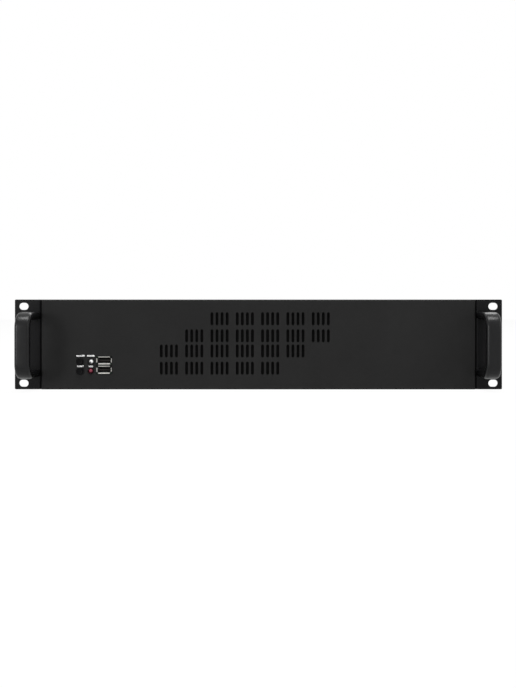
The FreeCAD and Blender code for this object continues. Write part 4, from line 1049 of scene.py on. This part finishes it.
@dataclass
class CoverThumbscrews:
    """The captive thumbscrews: a knurled grip with a shouldered collar and a cross recess.

    A ring of the profile is a share of the grip's radius, a distance from the seat, and whether
    it is knurled. On a knurled ring the radius falls and rises as a cosine.
    """

    places: tuple[float, ...] = (-203.21, -91.54, 40.0)
    seat_y: float = 300.9
    z: float = 36.25
    grip_radius: float = 4.5
    profile: tuple[tuple[float, float, bool], ...] = (
        (0.28, 5.4, False), (0.36, 5.6, False), (0.42, 6.15, False), (0.86, 6.5, False),
        (0.98, 6.0, True), (1.0, 5.6, True), (1.0, 2.1, True), (0.97, 1.7, True),
        (0.8, 1.5, False), (0.8, 0.0, False))
    knurls: int = 24
    knurl_steps: int = 4
    knurl_depth: float = 0.28
    shank_radius: float = 1.4
    shank_length: float = 8.0
    sharp: float = 50.0

    def build(self) -> None:
        """Makes the three screws in place of their CAD node."""
        steps = self.knurls * self.knurl_steps
        wave = 0.5 - 0.5 * np.cos(np.arange(steps) * 2 * math.pi / self.knurl_steps)
        ripple = 1 - self.knurl_depth / self.grip_radius * wave[:, None]
        outlines = [circle(self.grip_radius * scale, steps) * (ripple if knurled else 1.0)
                    for scale, _, knurled in self.profile]
        outlines += [circle(self.shank_radius, steps)] * 2
        levels = [level for _, level, _ in self.profile] + [0.0, -self.shank_length]
        form = Form()
        for x in self.places:
            centres = np.array([x, self.seat_y, self.z]) + np.array(levels)[:, None] * BACK
            form.closed(carried(np.stack(outlines), centres, ACROSS, UP))
        form.make("knurled_thumbscrews", Paint.SCREW, "cover", "screw_black",
                  ("cover_thumbscrews",), sharp=self.sharp)


@dataclass
class ControlCluster:
    """The buttons, lamps and sockets on the left of the front panel, and their words.

    A cap's profile is a radius, a distance behind its front and a rounding. Its collar and stem
    are a radius and a distance behind the collar's front. A word is its text, its middle, the
    height of its middle and its width.
    """

    face_y: float = -5.0
    inside_y: float = -4.0
    board_y: float = 10.0
    button_x: float = -176.2
    button_heights: Pair = (-16.7, -26.4)
    cap_proud: float = 2.2
    cap_radius: float = 3.5
    cap: tuple[Triple, ...] = (
        (0.0, 0.22, 0.0), (1.6, 0.2, 0.5), (2.75, 0.03, 0.3), (3.5, 0.1, 0.55))
    collar: tuple[Pair, ...] = ((4.3, 0.0), (4.3, 1.0), (1.5, 1.0), (1.5, 6.0))
    collar_gap: float = 0.1
    lamp_x: float = -165.4
    lamp_heights: Pair = (-16.9, -25.9)
    lamp_proud: float = 2.0
    lamp_length: float = 8.7
    dome_radius: float = 2.5
    dome_steps: int = 12
    flange_radius: float = 2.9
    flange: float = 1.0
    leg_reach: float = 1.27
    leg: float = 0.5
    leg_edge: float = 0.08
    leg_root: float = 0.1
    hole_radius: float = 2.52
    holder_radius: float = 3.25
    holder_proud: float = 0.7
    holder_edges: Pair = (0.15, 0.4)
    capital: float = 1.6
    stroke: float = 0.07
    ink_depth: float = 0.012
    words: tuple[tuple[str, float, float, float], ...] = (
        ("ON/OFF", -175.6, -10.8, 8.3), ("POWER", -165.3, -10.8, 7.3),
        ("RESET", -175.6, -21.15, 6.8), ("HDD", -165.4, -21.15, 4.2))
    steps: int = 48

    def button(self, name: str, height: float) -> None:
        """A cap with a soft rim and a slightly hollow face, its collar and its stem.

        Args:
            name: the button's name, with which the body that it rides on starts too.
            height: its height over the panel's middle.
        """
        front = self.face_y - self.cap_proud
        seat = self.inside_y + self.collar_gap
        profile = softened([(radius, front + along, rounding) for radius, along, rounding in self.cap]
                           + [(self.cap_radius, seat, 0.0)])
        centre = np.array([self.button_x, 0.0, MIDDLE + height])
        rings = turned(np.concatenate([profile, np.array(self.collar) + (0.0, seat)]),
                       centre, BACK, ACROSS, self.steps)
        Form().closed(rings).make(name + "_cap", Paint.BUTTON, name + "_key", "button_black",
                                  (name + "_button",))

    def lamp(self, name: str, height: float, paint: Paint, slot: str) -> None:
        """A domed lamp: a half sphere on a barrel with a rim, and its two legs.

        Args:
            name: the lamp's name.
            height: its height over the panel's middle.
            paint: its resin.
            slot: the record's material slot that it belongs to.
        """
        front = self.face_y - self.lamp_proud
        back = front + self.lamp_length
        radius = self.dome_radius
        turn = np.linspace(0.0, math.pi / 2, self.dome_steps)
        dome = np.stack([radius * np.sin(turn), front + radius - radius * np.cos(turn)], axis=-1)
        rest = np.array([(radius, back - self.flange), (self.flange_radius, back - self.flange),
                         (self.flange_radius, back)])
        middle = MIDDLE + height
        centre = np.array([self.lamp_x, 0.0, middle])
        form = Form().closed(turned(np.concatenate([dome, rest]), centre, BACK, ACROSS, self.steps))
        section = rounded_outline(self.leg, self.leg, self.leg_edge, 2)
        for side in (-1, 1):
            line = np.array([[self.lamp_x + side * self.leg_reach, depth, middle]
                             for depth in (back - self.leg_root, self.board_y)])
            form.closed(carried(section, line, ACROSS, UP))
        form.make(name + "_dome", paint, "case", slot, (name + "_lamp",))

    def holder(self, name: str, height: float) -> None:
        """The black ring that a lamp is clipped into, round in section where it stands proud.

        Args:
            name: the lamp's name.
            height: its height over the panel's middle.
        """
        proud = self.face_y - self.holder_proud
        profile = softened([
            (self.hole_radius, self.inside_y, 0.0), (self.hole_radius, proud, self.holder_edges[0]),
            (self.holder_radius, proud, self.holder_edges[1]),
            (self.holder_radius, self.face_y, 0.0)], steps=5)
        centre = np.array([self.lamp_x, 0.0, MIDDLE + height])
        inner = np.array([(self.holder_radius, self.face_y), (self.hole_radius, self.face_y)])
        rings = turned(np.concatenate([profile[:-1], inner]), centre, BACK, ACROSS, self.steps)
        Form().grid(rings, loop=True).make(name + "_lamp_holder", Paint.BUTTON, "case", "button_black")

    def word(self, text: str, x: float, z: float, width: float) -> None:
        """A word in flat ink that lies on the panel.

        Args:
            text: the word in capitals.
            x: the middle of the word.
            z: its middle height.
            width: its full width, to which the letters are drawn in or out.
        """
        curve = bpy.data.curves.new("word", "FONT")
        curve.body = text
        curve.size = self.capital
        curve.offset = self.stroke
        curve.extrude = self.ink_depth
        source = bpy.data.objects.new("word", curve)
        mesh = bpy.data.meshes.new_from_object(source)
        bpy.data.objects.remove(source)
        low, high = span(mesh)
        middle, reach = (low + high) / 2, (high - low) / MM
        mesh.transform(Matrix.Translation(Vector((x, self.face_y - self.ink_depth, z)) * MM)
                       @ Matrix.Rotation(math.pi / 2, 4, "X")
                       @ Matrix.Diagonal((width / reach[0], self.capital / reach[1], MM, 1.0))
                       @ Matrix.Translation(Vector(-middle)))
        name = "word_" + text.replace("/", "_").lower()
        settle(name, mesh, Paint.INK, "case")

    def build(self) -> None:
        """Makes the buttons, lamps and words, and finishes the sockets and the board."""
        for name, height in zip(("power", "reset"), self.button_heights):
            self.button(name, height)
        self.lamp("power", self.lamp_heights[0], Paint.CLEAR, "clear_lamp")
        self.lamp("drive", self.lamp_heights[1], Paint.RED, "red_lamp")
        for name, height in zip(("power", "drive"), self.lamp_heights):
            self.holder(name, height)
        for word in self.words:
            self.word(*word)
        coat(Paint.SWITCH, "power_switch", "reset_switch")
        coat(Paint.NICKEL, "upper_socket_shell", "lower_socket_shell")
        coat(Paint.TONGUE, "upper_socket_insulator", "lower_socket_insulator")
        coat(Paint.GOLD, "socket_contacts")
        coat(Paint.BOARD, "control_board")
        coat(Paint.BRASS, "control_board_spacers")
        coat(Paint.ZINC_SCREW, "control_board_screws")


class Shell:
    """The folded sheet body: tray, rear panel, cover, front panel and ears."""

    def build(self) -> None:
        """Finishes the sheets and what is fixed to them."""
        coat(Paint.PANEL, "front_panel")
        coat(Paint.SHEET, "base_tray", "fan_wall", "rear_panel", "top_cover", "right_ear", "left_ear")
        coat(Paint.SCREW, "rear_rivets")
        coat(Paint.ZINC, "card_covers", "drive_bracket")
        coat(Paint.ZINC_SCREW, "panel_screws", "card_cover_screws", "floor_screws", "fan_screws")
        coat(Paint.BRASS, "board_standoffs")
        coat(Paint.FILTER, "vent_filter")


class IntakeFans:
    """The two fans behind the vents."""

    def build(self) -> None:
        """Finishes the frames and the wheels."""
        coat(Paint.FAN, "left_fan_frame", "right_fan_frame")
        coat(Paint.ROTOR, "left_fan_rotor", "right_fan_rotor")


@dataclass(frozen=True)
class Softbox:
    """An oblong area lamp: its middle, its width and height in metres, and its watts."""

    name: str
    where: Triple
    size: Pair
    power: float

    def build(self) -> None:
        """Hangs the lamp and turns it to the object."""
        light = bpy.data.lights.new(self.name, "AREA")
        light.shape = "RECTANGLE"
        light.size, light.size_y = self.size
        light.energy = self.power
        lamp = linked(self.name, light)
        lamp.location = self.where
        lamp.rotation_euler = (-Vector(self.where)).to_track_quat("-Z", "Y").to_euler()


@dataclass
class Studio:
    """The white studio: floor, world, lamps and the camera square to the front."""

    floor_z: float = -44.05
    floor_size: float = 9000.0
    floor_colour: Colour = ink(248, 248, 248)
    floor_roughness: float = 0.9
    floor_white: float = 0.96
    distance: float = 820.0
    eye_x: float = 7.9
    eye_z: float = 37.6
    aim_x: float = -0.45
    aim_z: float = 0.7
    view_width: float = 512.5
    sensor: float = 36.0
    far: float = 50.0
    ambient: float = 0.22
    lamps: tuple[Softbox, ...] = (
        Softbox("key", (0.0, -0.55, 2.15), (2.0, 0.6), 62.0),
        Softbox("side", (-2.0, -2.3, 0.35), (0.7, 1.0), 32.0),
        Softbox("fill", (1.8, -1.2, 0.6), (1.2, 1.2), 4.0),
        Softbox("back", (0.3, 1.9, 1.9), (1.8, 1.0), 24.0))

    def floor(self) -> None:
        """A wide pale floor that shows white and keeps a faint shadow."""
        surface = Surface("studio_floor")
        surface.set(Base_Color=(*self.floor_colour, 1.0), Roughness=self.floor_roughness)
        white = surface.node("ShaderNodeEmission", {"Color": WHITE, "Strength": 1.0})
        mixed = surface.node("ShaderNodeMixShader", {0: self.floor_white * surface.background(),
                                                     1: surface.shader.outputs[0],
                                                     2: white.outputs[0]})
        surface.feed(surface.output.inputs["Surface"], mixed.outputs[0])
        half, level = self.floor_size / 2 * MM, self.floor_z * MM
        mesh = bpy.data.meshes.new("studio_floor")
        mesh.from_pydata([(-half, -half, level), (half, -half, level), (half, half, level),
                          (-half, half, level)], [], [(0, 1, 2, 3)])
        mesh.materials.append(surface.material)
        floor = linked("studio_floor", mesh)

    def world(self) -> None:
        """White to the camera, in reflections and through glass, and a plain pale light elsewhere."""
        world = bpy.data.worlds.new("studio")
        world.use_nodes = True
        sheet = NodeSheet(world.node_tree)
        light = sheet.node("ShaderNodeBackground", {
            "Color": WHITE, "Strength": self.ambient + (1.0 - self.ambient) * sheet.background()})
        sheet.node("ShaderNodeOutputWorld", {"Surface": light.outputs[0]})
        bpy.context.scene.world = world

    def camera(self) -> None:
        """A level camera above and right of the middle, shifted so that the case is centred."""
        lens = bpy.data.cameras.new("front_camera")
        lens.sensor_fit = "HORIZONTAL"
        lens.sensor_width = self.sensor
        lens.lens = self.sensor * self.distance / self.view_width
        lens.shift_x = (self.aim_x - self.eye_x) / self.view_width
        lens.shift_y = (self.aim_z - self.eye_z) / self.view_width
        lens.clip_end = self.far
        camera = linked("front_camera", lens)
        camera.location = Vector((self.eye_x, -self.distance, self.eye_z)) * MM
        camera.rotation_euler = (math.pi / 2, 0.0, 0.0)
        bpy.context.scene.camera = camera

    def build(self) -> None:
        """Sets the whole studio."""
        self.camera()
        self.floor()
        self.world()
        for lamp in self.lamps:
            lamp.build()
        bpy.context.scene.view_settings.view_transform = "Standard"


def main() -> None:
    """Builds the studio and every sub-assembly in order."""
    logging.basicConfig(level=logging.INFO, format="%(name)s: %(message)s")
    for part in (Studio(), Shell(), BowHandles(), EarFastening(), CoverThumbscrews(),
                 ControlCluster(), IntakeFans()):
        LOG.info("building %s", type(part).__name__)
        part.build()


if __name__ == "__main__":
    main()
